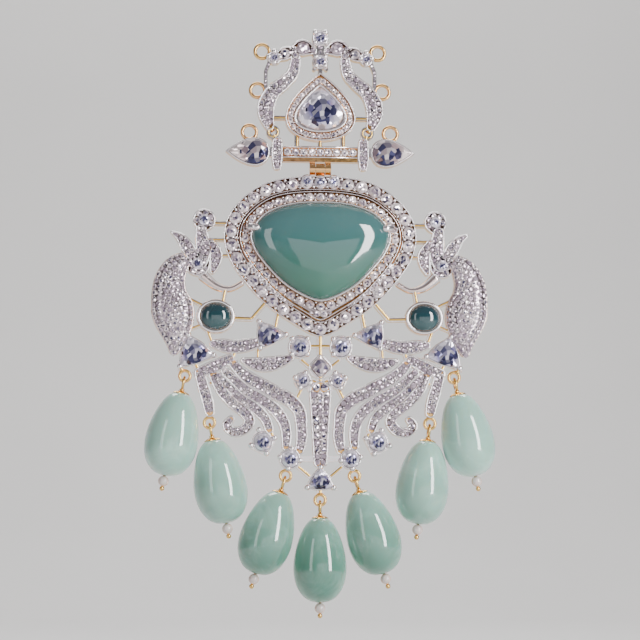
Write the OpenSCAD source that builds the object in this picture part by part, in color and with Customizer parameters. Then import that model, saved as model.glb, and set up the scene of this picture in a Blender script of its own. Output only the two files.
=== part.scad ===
/* [Hinge] */
// Radius of the hinge pin
pin_r = 0.5; // [0.4:0.05:0.6]
// Running gap round the pin inside the moving knuckle
pin_gap = 0.05; // [0.02:0.01:0.08]
// Outer radius of the knuckles
knuckle_r = 1.3; // [1.2:0.05:1.35]
// Length of the middle knuckle
knuckle_w = 2.0; // [1.6:0.1:2.4]
// Width of the whole hinge
hinge_w = 4.8; // [4.4:0.1:5.4]

/* [Metal] */
// Back face of both plates, behind the middle plane
plate_back = 0.8; // [0.6:0.1:1.2]
// Front face of both plates, before the middle plane
plate_front = 0.4; // [0.3:0.1:0.6]
// Width of the rail along a pave leaf
rail_w = 0.3; // [0.2:0.05:0.4]
// Height of the rail above the plate
rail_h = 0.5; // [0.3:0.1:0.7]
// Rise of the peacock's round body above the plate
body_rise = 2.0; // [1.2:0.1:2.6]
// Wire radius of the six strand rings
ring_wire_r = 0.4; // [0.3:0.05:0.5]
// Radius of a strand ring, at the middle of its wire
ring_r = 1.6; // [1.4:0.1:1.8]

/* [Stones] */
// Diameter of the stones in the outer halo
outer_d = 2.7; // [2.4:0.05:2.75]
// Number of stones in the outer halo
outer_count = 36; // [32:2:38]
// Diameter of the stones in the inner halo
inner_d = 1.9; // [1.7:0.05:1.95]
// Number of stones in the inner halo
inner_count = 38; // [34:2:38]
// Height of the centre stone's dome over its girdle
dome_h = 4.8; // [4:0.1:6]
// Diameter of the stones round the pear stone
pear_row_d = 1.3; // [1.1:0.05:1.35]
// Number of stones round the pear stone
pear_row_count = 25; // [22:1:26]
// Clear space left round every set stone
seat_gap = 0.05; // [0.04:0.01:0.08]

/* [Drops] */
// Length of a drop bead
drop_len = 18.6; // [17:0.1:19]
// Largest radius of a drop bead
drop_r = 5.9; // [5.5:0.05:5.95]
// Radius of the hole along a drop bead
drop_bore_r = 0.42; // [0.4:0.01:0.5]
// Radius of the wire through a drop bead
wire_r = 0.3; // [0.25:0.01:0.32]
// Radius of the loop on a drop's wire, at the middle of the wire
loop_r = 1.35; // [1.3:0.05:1.4]

/* [Hidden] */

// Colours of the finishes
white_metal = "gainsboro";
gold = "goldenrod";
clear_stone = "lightsteelblue";
mint_stone = "mediumaquamarine";
teal_stone = "cadetblue";

// Depth by which one layer of metal starts inside the layer below it
bite = 0.1;
// Steps between two rows of a table when a smooth curve is laid through them
curve_steps = 3;

// The hinge axis runs along X through this height and depth
hinge_z = -18.0;
hinge_y = -0.35;
// The web from the middle knuckle to the halo starts and ends this far below the axis
hinge_web = [3.0, 0.4];
// Height of the webs from the ears to the ledge
ear_web_h = 2.0;
// Play between the sides of the knuckles
side_gap = 0.1;
// Radial gap between the pin and the ears that hold it
press_gap = 0.02;

// Heights in front of the middle plane
leaf_top = plate_front + rail_h;
outer_floor = 0.1;
outer_rail = 1.4;
groove_floor = 0.6;
inner_floor = 0.8;
inner_rail = 1.9;
collet_top = 2.7;
centre_seat = 1.4;
pear_floor = 0.5;
pear_rail = 1.5;
pear_seat = -0.3;
oval_top = 1.3;
claw_top = 1.7;
stone_girdle = 1.2;

// Bands of the halo, measured inwards from its outline
halo_edge = 0.02;
outer_band_w = 3.1;
halo_rail_w = 0.12;
band_groove = 0.45;
collet_w = 0.45;

// Right half of the halo's outline: x, z
halo_half = [
    [0, -19.7], [9.0, -20.5], [15.0, -23.0], [19.8, -27.7], [21.5, -33.0],
    [20.5, -38.1], [17.4, -43.0], [12.3, -48.6], [6.3, -52.9], [0, -55.8],
];
// Right half of the centre stone's outline: x, z
centre_half = [
    [0, -26.1], [6.6, -26.6], [12.0, -28.7], [15.1, -32.6], [14.4, -36.35],
    [11.75, -40.0], [8.2, -43.7], [4.2, -46.3], [0, -47.7],
];
centre_mid = [0, -35.6];

// Leaves of the upper plaque, right side: x, z, width
arm_rows = [
    [5.6, 8.0, 2.0], [5.7, 6.0, 2.4], [6.4, 3.6, 2.7], [8.4, 1.5, 3.0], [10.8, -0.6, 3.4],
    [12.1, -3.3, 3.9], [12.2, -5.7, 3.6], [11.5, -8.1, 2.4],
];
lobe_inner_rows = [[1.5, 9.1, 1.6], [3.9, 9.8, 3.8], [6.2, 9.2, 1.9]];
lobe_outer_rows = [[5.9, 9.1, 1.8], [7.9, 8.4, 3.0], [9.8, 7.5, 1.8]];
bar_z = -14.2;
bar_rows = [[0, bar_z, 2.7], [4.6, bar_z, 2.7], [9.3, bar_z, 2.5]];
column_rows = [[9.7, -11.9, 2.2], [9.7, -14.8, 2.5], [9.7, -17.3, 2.0]];

// Peacock's body, crests, beak and wing leaves, right side: x, z, width
body_rows = [
    [29.9, -38.6, 3.0], [31.9, -40.4, 5.2], [33.3, -43.3, 6.7], [33.5, -46.5, 7.9],
    [32.8, -49.8, 9.5], [32.3, -53.0, 8.6], [32.1, -56.2, 5.6], [32.3, -59.0, 2.2],
];
crest_outer_rows = [[33.1, -32.7, 0.5], [31.2, -33.9, 2.0], [29.7, -35.9, 3.0], [28.2, -38.2, 2.4]];
crest_middle_rows = [[26.6, -32.2, 2.6], [26.1, -36.3, 3.5], [26.9, -39.3, 3.6]];
crest_inner_rows = [[24.6, -34.5, 1.4], [23.3, -37.2, 2.8], [23.4, -39.5, 2.4], [24.0, -41.4, 1.2]];
beak_rows = [[26.1, -42.3, 2.2], [23.1, -44.7, 1.5], [20.1, -45.3, 1.0], [17.3, -43.9, 0.9]];
wing_rows = [
    [23.7, -57.6, 1.8], [21.6, -57.9, 2.9], [19.2, -58.2, 3.0], [16.5, -57.9, 2.9], [14.4, -57.3, 2.4],
];
root_rows = [[20.1, -60.9, 2.2], [23.4, -62.6, 2.8], [26.7, -64.0, 2.4]];
shoulder_rows = [
    [17.1, -61.2, 1.2], [14.1, -62.0, 3.0], [11.1, -62.0, 3.3], [8.1, -61.2, 2.4], [6.5, -60.5, 1.4],
];
stem_rows = [[0, -68.1, 4.9], [0, -73.0, 4.3], [0, -78.4, 3.6], [0, -83.4, 3.1]];
cap_rows = [[-2.2, -67.5, 1.3], [0, -67.6, 1.6], [2.2, -67.5, 1.3]];
foot_rows = [[0, -82.8, 1.6], [3.0, -82.9, 1.2], [5.0, -82.8, 1.0]];

// Peacock's head, right side, and the round top of its crest
head_mid = [27.3, -39.7];
head_r = 2.8;
crest_top_mid = [25.9, -29.9];
crest_top_r = 2.5;

// Tail plumes, right side, from the innermost out: x, z, width
plume_rows = [
    [
        [19.2, -62.0, 2.2], [16.4, -64.7, 2.8], [10.5, -68.0, 3.1], [6.9, -69.9, 3.0],
        [4.7, -72.3, 2.9], [4.2, -75.4, 2.6], [4.1, -78.4, 2.5], [4.6, -81.0, 2.1],
    ],
    [
        [21.1, -63.6, 1.9], [16.6, -67.7, 2.5], [12.9, -69.9, 2.6], [9.8, -72.3, 2.7],
        [8.0, -75.0, 2.5], [7.5, -77.7, 2.3], [7.6, -80.2, 1.9],
    ],
    [[22.6, -64.6, 1.7], [18.0, -69.3, 2.3], [14.8, -71.5, 2.5], [12.3, -73.9, 2.3], [11.3, -76.4, 2.0]],
    [
        [23.6, -64.4, 2.2], [22.0, -67.7, 2.4], [19.4, -70.6, 2.5], [16.7, -72.7, 2.5],
        [15.6, -74.7, 2.4], [16.9, -76.6, 2.3], [19.3, -77.0, 2.2], [20.6, -75.5, 2.0], [19.7, -74.2, 1.6],
    ],
    [[26.7, -63.9, 2.2], [25.9, -66.9, 2.5], [24.9, -70.2, 2.6], [24.4, -72.7, 2.2]],
];

// Gold struts of the peacock plate, right side: x1, z1, x2, z2, width
struts = [
    [23.8, -30.6, 20.7, -30.6, 0.9],
    [24.4, -34.3, 21.0, -34.3, 0.7],
    [22.9, -37.8, 19.9, -37.8, 0.7],
    [21.1, -45.3, 21.7, -48.6, 1.0],
    [19.6, -51.8, 15.3, -51.9, 1.1],
    [15.3, -51.9, 12.3, -48.4, 1.1],
    [25.2, -54.0, 24.0, -57.2, 1.0],
    [9.9, -53.7, 9.3, -50.4, 1.1],
    [13.7, -57.3, 13.9, -61.2, 0.9],
    [18.9, -59.4, 19.6, -61.6, 1.0],
    [0.0, -57.9, 2.2, -57.9, 1.0],
    [2.0, -62.8, 4.2, -61.0, 0.9],
    [3.9, -67.0, 5.4, -70.0, 1.0],
    [10.4, -78.0, 11.3, -76.2, 1.0],
    [2.3, -86.7, 4.8, -84.6, 1.0],
    [16.4, -70.4, 17.8, -71.8, 0.9],
    [12.2, -71.8, 13.2, -70.6, 0.8],
    [24.4, -66.4, 22.4, -65.2, 0.9],
    [28.2, -60.6, 26.9, -63.6, 1.2],
    [29.2, -55.9, 31.2, -57.0, 1.6],
    [30.9, -61.6, 30.6, -63.6, 1.1],
    [26.3, -48.9, 29.4, -47.4, 0.9],
    [26.6, -53.4, 29.4, -54.6, 0.8],
];

// Struts down the middle of the peacock plate: x1, z1, x2, z2, width
middle_struts = [
    [0, -55.0, 0, -61.0, 1.3],
    [0, -64.0, 0, -68.0, 1.4],
    [-1.7, -65.6, 1.7, -67.4, 0.9],
    [1.7, -65.6, -1.7, -67.4, 0.9],
    [0, -83.4, 0, -91.0, 1.4],
];

// Struts of the upper plaque's middle: x1, z1, x2, z2, width
upper_middle_struts = [
    [0, 10.8, 0, 9.0, 1.8],
    [0, 9.0, 0, 6.6, 2.4],
    [0, 5.4, 0, 3.4, 0.9],
    [0, -11.4, 0, -13.4, 0.9],
    [-5.4, -10.2, -5.4, -13.4, 0.8],
    [5.0, -10.4, 5.0, -13.4, 0.8],
];
// Struts of the upper plaque, right side: x1, z1, x2, z2, width
upper_struts = [
    [5.4, 8.3, 5.7, 6.0, 1.8],
    [11.3, 6.8, 12.3, 4.2, 0.8],
    [12.3, 4.2, 12.3, 0.6, 0.8],
    [7.6, -6.4, 10.8, -6.4, 0.8],
    [11.2, -8.4, 10.2, -11.2, 1.4],
    [1.4, 4.9, 0, 6.6, 0.8],
    [1.4, 8.2, 0, 6.6, 0.8],
    [9.0, bar_z, 12.6, bar_z, 2.0],
];

// Three-cornered stones: first, second and third corner, each x, z
tail_trillion = [[31.2, -62.9], [23.4, -60.2], [29.2, -55.6]];
side_trillion = [[13.7, -52.5], [7.5, -55.5], [13.4, -58.6]];
tip_corners = [[0, -84.7], [-3.0, -89.3], [3.0, -89.3]];

// Round claw stones of the peacock plate, right side: x, z, stone radius, angle of the first claw
shoulder_stone = [4.6, -58.1, 2.1, 45];
neck_stone = [3.9, -65.6, 1.45, 20];
foot_stone = [6.7, -82.9, 1.9, 10];
claw_stones = [shoulder_stone, neck_stone, foot_stone];
claw_r = 0.38;
claw_reach = 0.4;
corner_claw_out = 0.32;
// The post of a claw stands this far inside its foot in the plate
claw_step = 0.03;

// Metal round the seats of the peacock plate's stones, and the ledge that each stone rests on
corner_rim = 0.35;
tip_rim = 0.45;
claw_seat_rim = 0.5;
seat_ledge = 0.45;

// Other stones of the peacock plate: middle and half sizes
oval_mid = [23.2, -51.5];
oval_half = [3.4, 2.9];
oval_bezel = 0.9;
oval_bezel_step = 0.2;
square_mid = [12.7, -79.2];
square_half = 2.0;
square_turn = 27;
kite_mid = [0, -62.6];
kite_half = [2.2, 2.4];
kite_seat_r = 2.75;
kite_opening_r = 1.9;
// Places of the three larger stones at the halo's top, and the radius of the bump round each
top_stones = [[-3.0, -20.9], [0, -21.1], [3.0, -20.9]];
top_seat_r = 1.6;

// Pear halo and pear stone of the upper plaque: half width, top, bottom
pear_outer = [7.9, 4.0, -11.7];
pear_stone = [5.1, 0.7, -9.1];
// Lines of the pear halo, measured inwards from its outline
pear_rail_in = 0.35;
pear_row_in = 1.13;
pear_channel_in = 1.9;
pear_collet_step = 0.2;
pear_collet_in = 2.4;
pear_mid = [0, -4.6];

// Stones of the bar: diameter, distance between two, and half sizes of the channel that they sit in
bar_d = 1.7;
bar_pitch = 1.84;
bar_channel_half = [8.4, 1.0];
// Ledge under the bar, and the round boss that carries the hinge
ledge_half_w = 9.0;
ledge_bottom = -16.4;
ledge_h = 2.4;
boss = [0, -15.0, 1.3];

// Round stones of the upper plaque: x, z, stone radius, radius of the metal round it
crown_stone = [0, 12.1, 1.5, 1.85];
star_stone = [0, 6.6, 1.3, 1.8];
side_stone = [10.4, 7.4, 1.1, 1.55];
// Opening behind the star's stone, and how much lower than the others its claws are
star_opening_r = 0.9;
star_claw_drop = 0.3;
// Ring between arm and column: x, z, outer radius, hole radius
hook_ring = [10.6, -9.7, 1.5, 0.65];

// End stones of the bar, right side
end_mid = [14.6, -14.2];
end_tip_x = 20.6;
end_back_x = 11.75;
end_half_h = 2.85;
end_rim = 0.4;

// Cuts of the stones: height of the girdle, height of the crown above it, depth of the back below it
pear_cut = [1.1, 1.6, 1.3];
crown_cut = [0.85, 0.6, 0.4];
star_cut = [stone_girdle, 0.6, 0.7];
side_cut = [0.85, 0.5, 0.4];
end_cut = [stone_girdle, 0.9, 0.7];
bar_cut = [0.75, 0.45, 0.3];
corner_stone_cut = [stone_girdle, 0.75, 0.7];
claw_cut = [stone_girdle, 0.8, 0.7];
kite_cut = [1.15, 0.75, 0.7];
// Depth of the rows' girdles below their rails: pear row, outer halo, inner halo
row_sink = [0.4, 0.1, 0.25];
// Crown and back of the small round stones, as shares of their diameter
crown_share = 0.24;
back_share = 0.36;
// Height of the straight wall under the centre stone's dome and the ovals', and the ovals' rise
centre_wall = 0.9;
oval_wall = 0.7;
oval_rise = 1.9;

// Strand rings, right side: x, z
strand_rings = [[13.1, 9.0], [14.1, 0], [15.9, -9.6]];

// Eyelets that the drops hang from, drop 1 at the left: x, z, lean of the drop in degrees
drop_places = [
    [-29.9, -64.7, -11], [-24.4, -75.0, 10], [-7.6, -86.6, -17], [0, -91.9, 0],
    [7.6, -86.6, 17], [24.4, -75.0, -7], [29.9, -64.7, 12],
];
eyelet_r = 1.5;
eyelet_hole_r = 0.85;
// Middle plane of the plates, which the drops hang in
hang_y = (plate_back - plate_front) / 2;
// Distances down from the middle of an eyelet, along the drop's own line
loop_drop = 1.6;
bead_top = 3.75;
end_bead_r = 1.15;
end_bead_drop = bead_top + drop_len + 1.2;
pin_head_drop = end_bead_drop + 1.65;
pin_head_r = 0.55;
// Small flared cap on top of a drop: radius, height over the bead's top
cap_profile = [
    [0, 0.55], [0.45, 0.5], [0.9, 0.32], [1.3, 0.06], [1.5, -0.1], [1.38, -0.1], [0.9, 0.04], [0, 0.1],
];

function flat_part(p) = [p[0], p[1]];
function mirrored(p) = [-p[0], p[1]];

// A point of the smooth curve through rows a, b, c and d, at t between b and c
function smooth_point(a, b, c, d, t) =
    0.5 * ((2 * b) + (c - a) * t + (2 * a - 5 * b + 4 * c - d) * t * t + (3 * b - a - 3 * c + d) * t * t * t);

function open_curve(rows, steps = curve_steps) = let (last = len(rows) - 1) [
    for (i = [0:last - 1], s = [0:steps - 1])
        smooth_point(rows[max(i - 1, 0)], rows[i], rows[i + 1], rows[min(i + 2, last)], s / steps),
    rows[last],
];

function closed_curve(rows, steps = curve_steps) = let (n = len(rows)) [
    for (i = [0:n - 1], s = [0:steps - 1])
        smooth_point(rows[(i + n - 1) % n], rows[i], rows[(i + 1) % n], rows[(i + 2) % n], s / steps),
];

// A closed outline from its right half, which starts at the top and ends at the bottom
function whole_outline(half) = let (last = len(half) - 1)
    concat(half, [for (i = [last - 1:-1:1]) mirrored(half[i])]);

// Direction of an open curve at its point i
function heading(curve, i) =
    let (d = flat_part(curve[min(i + 1, len(curve) - 1)]) - flat_part(curve[max(i - 1, 0)])) d / norm(d);

// The point of a curve that lies off to its side by k half widths
function edge_point(curve, i, k) = let (h = heading(curve, i), w = curve[i][2] / 2 * k)
    [curve[i][0] - h[1] * w, curve[i][1] + h[0] * w];

// Lengths along a closed outline, one more than its points
function outline_runs(c) = let (n = len(c))
    [for (i = 0, s = 0; i <= n; s = s + norm(c[(i + 1) % n] - c[i % n]), i = i + 1) s];

// Points spread evenly along a closed outline
function spread(c, count, start = 0) =
    let (runs = outline_runs(c), n = len(c), total = runs[n])
    [
        for (k = [0:count - 1]) let (s = ((k + start) * total / count) % total) [
            lookup(s, [for (i = [0:n]) [runs[i], c[i % n][0]]]),
            lookup(s, [for (i = [0:n]) [runs[i], c[i % n][1]]]),
        ],
    ];

// A closed outline, which runs clockwise, moved inwards by d
function inset(c, d) = let (n = len(c)) [
    for (i = [0:n - 1]) let (h = c[(i + 1) % n] - c[(i + n - 1) % n]) c[i] + [h[1], -h[0]] / norm(h) * d,
];

// Teardrop outline: x = W sin t sin(t/2), z = middle + half height cos t, clockwise from the point
pear_fullness = 0.7698;
function pear(size, count = 48) = [
    for (k = [0:count - 1]) let (t = 360 * k / count, turn = t > 180 ? 360 - t : t) [
        (t > 180 ? -1 : 1) * size[0] / pear_fullness * sin(turn) * sin(turn / 2),
        (size[1] + size[2]) / 2 + (size[1] - size[2]) / 2 * cos(turn),
    ],
];

function round_outline(r, sides = 8) =
    [for (k = [0:sides - 1]) r * [sin(360 * k / sides), cos(360 * k / sides)]];
function oval_outline(half, sides = 24) =
    [for (k = [0:sides - 1]) [half[0] * sin(360 * k / sides), half[1] * cos(360 * k / sides)]];
function middle(corners) = (corners[0] + corners[1] + corners[2]) / 3;

// Outline of a three-cornered stone: its corners cut off and its sides bowed out a little
corner_cut = 0.16;
side_bow = 0.5;
function cut_corners(corners) = let (m = middle(corners)) [
    for (k = [0:2])
        let (here = corners[k] - m, next = corners[(k + 1) % 3] - m, last = corners[(k + 2) % 3] - m)
        each [
            here + (last - here) * corner_cut,
            here + (next - here) * corner_cut,
            (here + next) / 2 * (1 + side_bow * corner_cut * 2),
        ],
];
// The same outline the other way round where its corners run anticlockwise
function turn_sign(a) = sign(
    (a[1][0] - a[0][0]) * (a[2][1] - a[0][1]) - (a[1][1] - a[0][1]) * (a[2][0] - a[0][0]));
function clockwise(a) = turn_sign(a) > 0 ? [for (i = [len(a) - 1:-1:0]) a[i]] : a;
function moved(c, by) = [for (p = c) p - by];

// A solid of one outline at several levels: each level is scale, height to the front.
// It ends in a flat face, or in a point at height nose to the front or tail to the back.
module stacked(outline, levels, nose = undef, tail = undef) {
    n = len(outline);
    m = len(levels);
    points = concat(
        [for (level = levels, p = outline) [p[0] * level[0], -level[1], p[1] * level[0]]],
        nose == undef ? [] : [[0, -nose, 0]],
        tail == undef ? [] : [[0, tail, 0]]);
    tail_point = m * n + (nose == undef ? 0 : 1);
    front = nose == undef ? [[for (i = [0:n - 1]) i]]
        : [for (i = [0:n - 1]) [m * n, i, (i + 1) % n]];
    sides = [for (j = [0:m - 2], i = [0:n - 1])
        [j * n + (i + 1) % n, j * n + i, (j + 1) * n + i, (j + 1) * n + (i + 1) % n]];
    back = tail == undef ? [[for (i = [n - 1:-1:0]) (m - 1) * n + i]]
        : [for (i = [0:n - 1]) [(m - 1) * n + (i + 1) % n, (m - 1) * n + i, tail_point]];
    polyhedron(points, concat(front, sides, back));
}

// A cut stone in its place: table, crown, thin girdle and pointed back
table_share = 0.56;
girdle_h = 0.1;
module cut_stone(mid, outline, cut) {
    translate([mid[0], -cut[0], mid[1]])
        stacked(outline, [[table_share, cut[1]], [1, girdle_h], [1, 0]], tail = cut[2]);
}

module round_stone(mid, d, girdle) {
    cut_stone(mid, round_outline(d / 2), [girdle, crown_share * d, back_share * d]);
}

// A dome over an outline, as a quarter round
dome_rings = 7;
module dome_stone(mid, outline, girdle, rise, wall) {
    levels = [for (k = [dome_rings - 1:-1:0]) let (a = 90 * k / dome_rings) [cos(a), wall + rise * sin(a)]];
    translate([mid[0], -girdle, mid[1]])
        stacked(outline, concat(levels, [[1, 0]]), nose = wall + rise);
}

// A flat shape made solid between two depths, both counted to the front
module slab(from, to) {
    translate([0, -from, 0]) rotate([90, 0, 0]) linear_extrude(to - from) children();
}

// A flat shape with its narrowest slits filled, as they are in a casting
module closed() {
    offset(delta = -0.05) offset(delta = 0.06) children();
}

module both_sides() {
    children();
    mirror([1, 0, 0]) children();
}

// A leaf drawn along rows of x, z and width, with round ends
module leaf(rows, steps = curve_steps) {
    curve = open_curve(rows, steps);
    last = len(curve) - 1;
    for (i = [0:last - 1]) polygon([
        edge_point(curve, i, 1), edge_point(curve, i + 1, 1),
        edge_point(curve, i + 1, -1), edge_point(curve, i, -1),
    ]);
    for (end = [curve[0], curve[last]]) translate([end[0], end[1]]) circle(d = end[2], $fn = 14);
}

// What lies between the two rails of a leaf
module channel(rows) {
    offset(delta = -rail_w) leaf(rows);
}

module strut(row) {
    leaf([[row[0], row[1], row[4]], [row[2], row[3], row[4]]], 1);
}

module disc(mid, r, sides = 24) {
    translate(mid) circle(r = r, $fn = sides);
}

module oval_disc(grow) {
    translate(oval_mid) offset(delta = grow)
        scale([1, oval_half[1] / oval_half[0]]) circle(r = oval_half[0], $fn = 28);
}

// Claws round a stone: middle, radius of their circle, number, angle of the first
module claws(mid, r, count, turn) {
    for (k = [0:count - 1]) let (a = turn + 360 * k / count)
        disc([mid[0] + r * cos(a), mid[1] + r * sin(a)], claw_r, 10);
}

module round_claws(stone) {
    claws([stone[0], stone[1]], stone[2] + claw_reach + seat_gap, 4, stone[3]);
}

module corner_claws(corners) {
    m = middle(corners);
    for (c = corners) let (out = c - m)
        disc(m + out * (1 - corner_cut / 2) + out / norm(out) * corner_claw_out, claw_r, 10);
}

module square_outline(grow) {
    translate(square_mid) rotate(square_turn) square(2 * (square_half + grow), center = true);
}

// Outline of an end stone: a teardrop that points outwards
function end_outline(grow) = [
    let (tip = end_tip_x - end_mid[0] + 1.5 * grow, back = end_back_x - end_mid[0] - grow)
        for (p = pear([end_half_h + grow, tip, back], 24)) end_mid + [p[1], -p[0]],
];

halo_outline = closed_curve(whole_outline(halo_half));
centre_outline = closed_curve(whole_outline(centre_half));
outer_row = inset(halo_outline, (halo_edge + outer_band_w) / 2);
outer_places = spread(outer_row, outer_count);
inner_row = inset(centre_outline, -2 * seat_gap - collet_w - inner_d / 2);
inner_places = spread(inner_row, inner_count);
pear_line = pear(pear_outer);
pear_row = inset(pear_line, pear_row_in);
// Near the teardrop's point the row is cut short where its two sides would cross
pear_places = spread(
    [for (k = [1:len(pear_row) - 1]) if (pear_row[k][0] * pear_line[k][0] > -0.001) pear_row[k]],
    pear_row_count, 0.5);
bar_places = [for (k = [-4:4]) [k * bar_pitch, bar_z]];

// Outline of all the metal of the peacock plate
module peacock_plate() {
    difference() {
        union() {
            polygon(halo_outline);
            for (p = top_stones) disc(p, top_seat_r);
            disc(kite_mid, kite_seat_r, 8);
            for (row = middle_struts) strut(row);
            leaf(stem_rows);
            leaf(cap_rows);
            offset(delta = tip_rim) polygon(tip_corners);
            corner_claws(tip_corners);
            for (d = drop_places) disc([d[0], d[1]], eyelet_r, 20);
            both_sides() {
                for (rows = [body_rows, crest_outer_rows, crest_middle_rows, crest_inner_rows,
                        beak_rows, wing_rows, root_rows, shoulder_rows, foot_rows]) leaf(rows);
                for (rows = plume_rows) leaf(rows);
                for (row = struts) strut(row);
                disc(crest_top_mid, crest_top_r);
                disc(head_mid, head_r);
                oval_disc(oval_bezel);
                for (corners = [tail_trillion, side_trillion]) {
                    offset(delta = corner_rim) polygon(corners);
                    corner_claws(corners);
                }
                for (s = claw_stones) {
                    disc([s[0], s[1]], s[2] + claw_seat_rim);
                    round_claws(s);
                }
                square_outline(seat_ledge);
            }
        }
        for (d = drop_places) disc([d[0], d[1]], eyelet_hole_r, 16);
    }
}

// What is sunk into the front of the plate: pave fields between rails, and the seats of stones
module peacock_channels() {
    channel(stem_rows);
    offset(delta = -seat_ledge) polygon(tip_corners);
    disc(kite_mid, kite_opening_r, 8);
    for (d = drop_places) disc([d[0], d[1]], eyelet_r + bite, 20);
    both_sides() {
        for (rows = [crest_outer_rows, crest_middle_rows, crest_inner_rows,
                wing_rows, root_rows, shoulder_rows]) channel(rows);
        for (rows = plume_rows) channel(rows);
        disc(crest_top_mid, crest_top_r - rail_w);
        disc(head_mid, head_r - rail_w);
        for (corners = [tail_trillion, side_trillion]) offset(delta = -seat_ledge) polygon(corners);
        for (s = claw_stones) disc([s[0], s[1]], s[2] - seat_ledge);
        square_outline(-seat_ledge);
        oval_disc(seat_gap);
    }
}

module peacock_claws() {
    corner_claws(tip_corners);
    both_sides() {
        for (s = claw_stones) round_claws(s);
        for (corners = [tail_trillion, side_trillion]) corner_claws(corners);
    }
}

// A ring of the halo between two distances inwards from its outline
module halo_ring(from, to) {
    difference() {
        offset(delta = -from) polygon(halo_outline);
        offset(delta = -to) polygon(halo_outline);
    }
}

// The peacock's round body: at each row of the leaf a low dome across it
body_across = [-1, -0.9, -0.62, -0.2, 0.2, 0.62, 0.9, 1];
body_share = 0.94;
module body_dome() {
    curve = open_curve(body_rows);
    n = len(curve);
    m = len(body_across);
    widest = max([for (row = body_rows) row[2]]);
    points = [
        for (i = [0:n - 1], k = body_across)
            let (p = edge_point(curve, i, k * body_share), rise = body_rise * sqrt(curve[i][2] / widest))
            [p[0], bite - leaf_top - sqrt(1 - k * k) * (rise + bite), p[1]],
    ];
    sides = [
        for (i = [0:n - 2], j = [0:m - 1])
            [i * m + j, i * m + (j + 1) % m, (i + 1) * m + (j + 1) % m, (i + 1) * m + j],
    ];
    ends = [[for (j = [m - 1:-1:0]) j], [for (j = [0:m - 1]) (n - 1) * m + j]];
    polyhedron(points, concat(sides, ends));
}

module knuckle(x1, x2) {
    translate([x1, hinge_y, hinge_z]) rotate([0, 90, 0]) cylinder(r = knuckle_r, h = x2 - x1, $fn = 48);
}

module hinge_bore(r) {
    translate([-hinge_w, hinge_y, hinge_z]) rotate([0, 90, 0]) cylinder(r = r, h = 2 * hinge_w, $fn = 48);
}

module peacock_frame() {
    inner_edge = outer_band_w + band_groove;
    color(white_metal) difference() {
        union() {
            slab(-plate_back, leaf_top) closed() peacock_plate();
            slab(0, outer_rail) offset(delta = -halo_edge) polygon(halo_outline);
            slab(0, inner_rail) offset(delta = -inner_edge) polygon(halo_outline);
            slab(0, collet_top) offset(delta = seat_gap + collet_w) polygon(centre_outline);
            slab(0, claw_top) offset(delta = -claw_step) peacock_claws();
            slab(0, oval_top) offset(delta = 0.01) both_sides() oval_disc(oval_bezel - oval_bezel_step);
            both_sides() body_dome();
            knuckle(-knuckle_w / 2, knuckle_w / 2);
            translate([-knuckle_w / 2, -plate_front, hinge_z - hinge_web[0]])
                cube([knuckle_w, plate_back + plate_front - bite, hinge_web[0] - hinge_web[1]]);
        }
        slab(plate_front, 2 * collet_top) offset(delta = 0.01) peacock_channels();
        slab(outer_floor, 2 * collet_top) offset(delta = 0.01)
            halo_ring(halo_edge + halo_rail_w, outer_band_w - halo_rail_w);
        slab(groove_floor, 2 * collet_top) offset(delta = 0.01) halo_ring(outer_band_w, inner_edge);
        slab(inner_floor, 2 * collet_top) offset(delta = 0.01) difference() {
            offset(delta = -inner_edge - halo_rail_w) polygon(halo_outline);
            offset(delta = seat_gap + collet_w) polygon(centre_outline);
        }
        slab(centre_seat, 2 * collet_top) offset(delta = seat_gap) polygon(centre_outline);
        hinge_bore(pin_r + pin_gap);
    }
}

// Outline of all the metal of the upper plaque
module upper_plate() {
    difference() {
        union() {
            for (seat = [crown_stone, star_stone]) disc([seat[0], seat[1]], seat[3]);
            for (row = upper_middle_struts) strut(row);
            polygon(pear(pear_outer));
            disc([boss[0], boss[1]], boss[2]);
            translate([-ledge_half_w, ledge_bottom]) square([2 * ledge_half_w, ledge_h]);
            both_sides() {
                for (rows = [arm_rows, lobe_inner_rows, lobe_outer_rows, bar_rows, column_rows]) leaf(rows);
                for (row = upper_struts) strut(row);
                disc([side_stone[0], side_stone[1]], side_stone[3]);
                disc([hook_ring[0], hook_ring[1]], hook_ring[2]);
                polygon(end_outline(end_rim));
            }
        }
        both_sides() disc([hook_ring[0], hook_ring[1]], hook_ring[3], 12);
    }
}

module upper_channels() {
    disc([crown_stone[0], crown_stone[1]], crown_stone[2] + seat_gap);
    disc([star_stone[0], star_stone[1]], star_opening_r);
    translate([0, bar_z]) square(2 * bar_channel_half, center = true);
    both_sides() {
        for (rows = [arm_rows, lobe_inner_rows, lobe_outer_rows, column_rows]) channel(rows);
        disc([side_stone[0], side_stone[1]], side_stone[2] + seat_gap);
        polygon(end_outline(-seat_ledge));
    }
}

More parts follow.
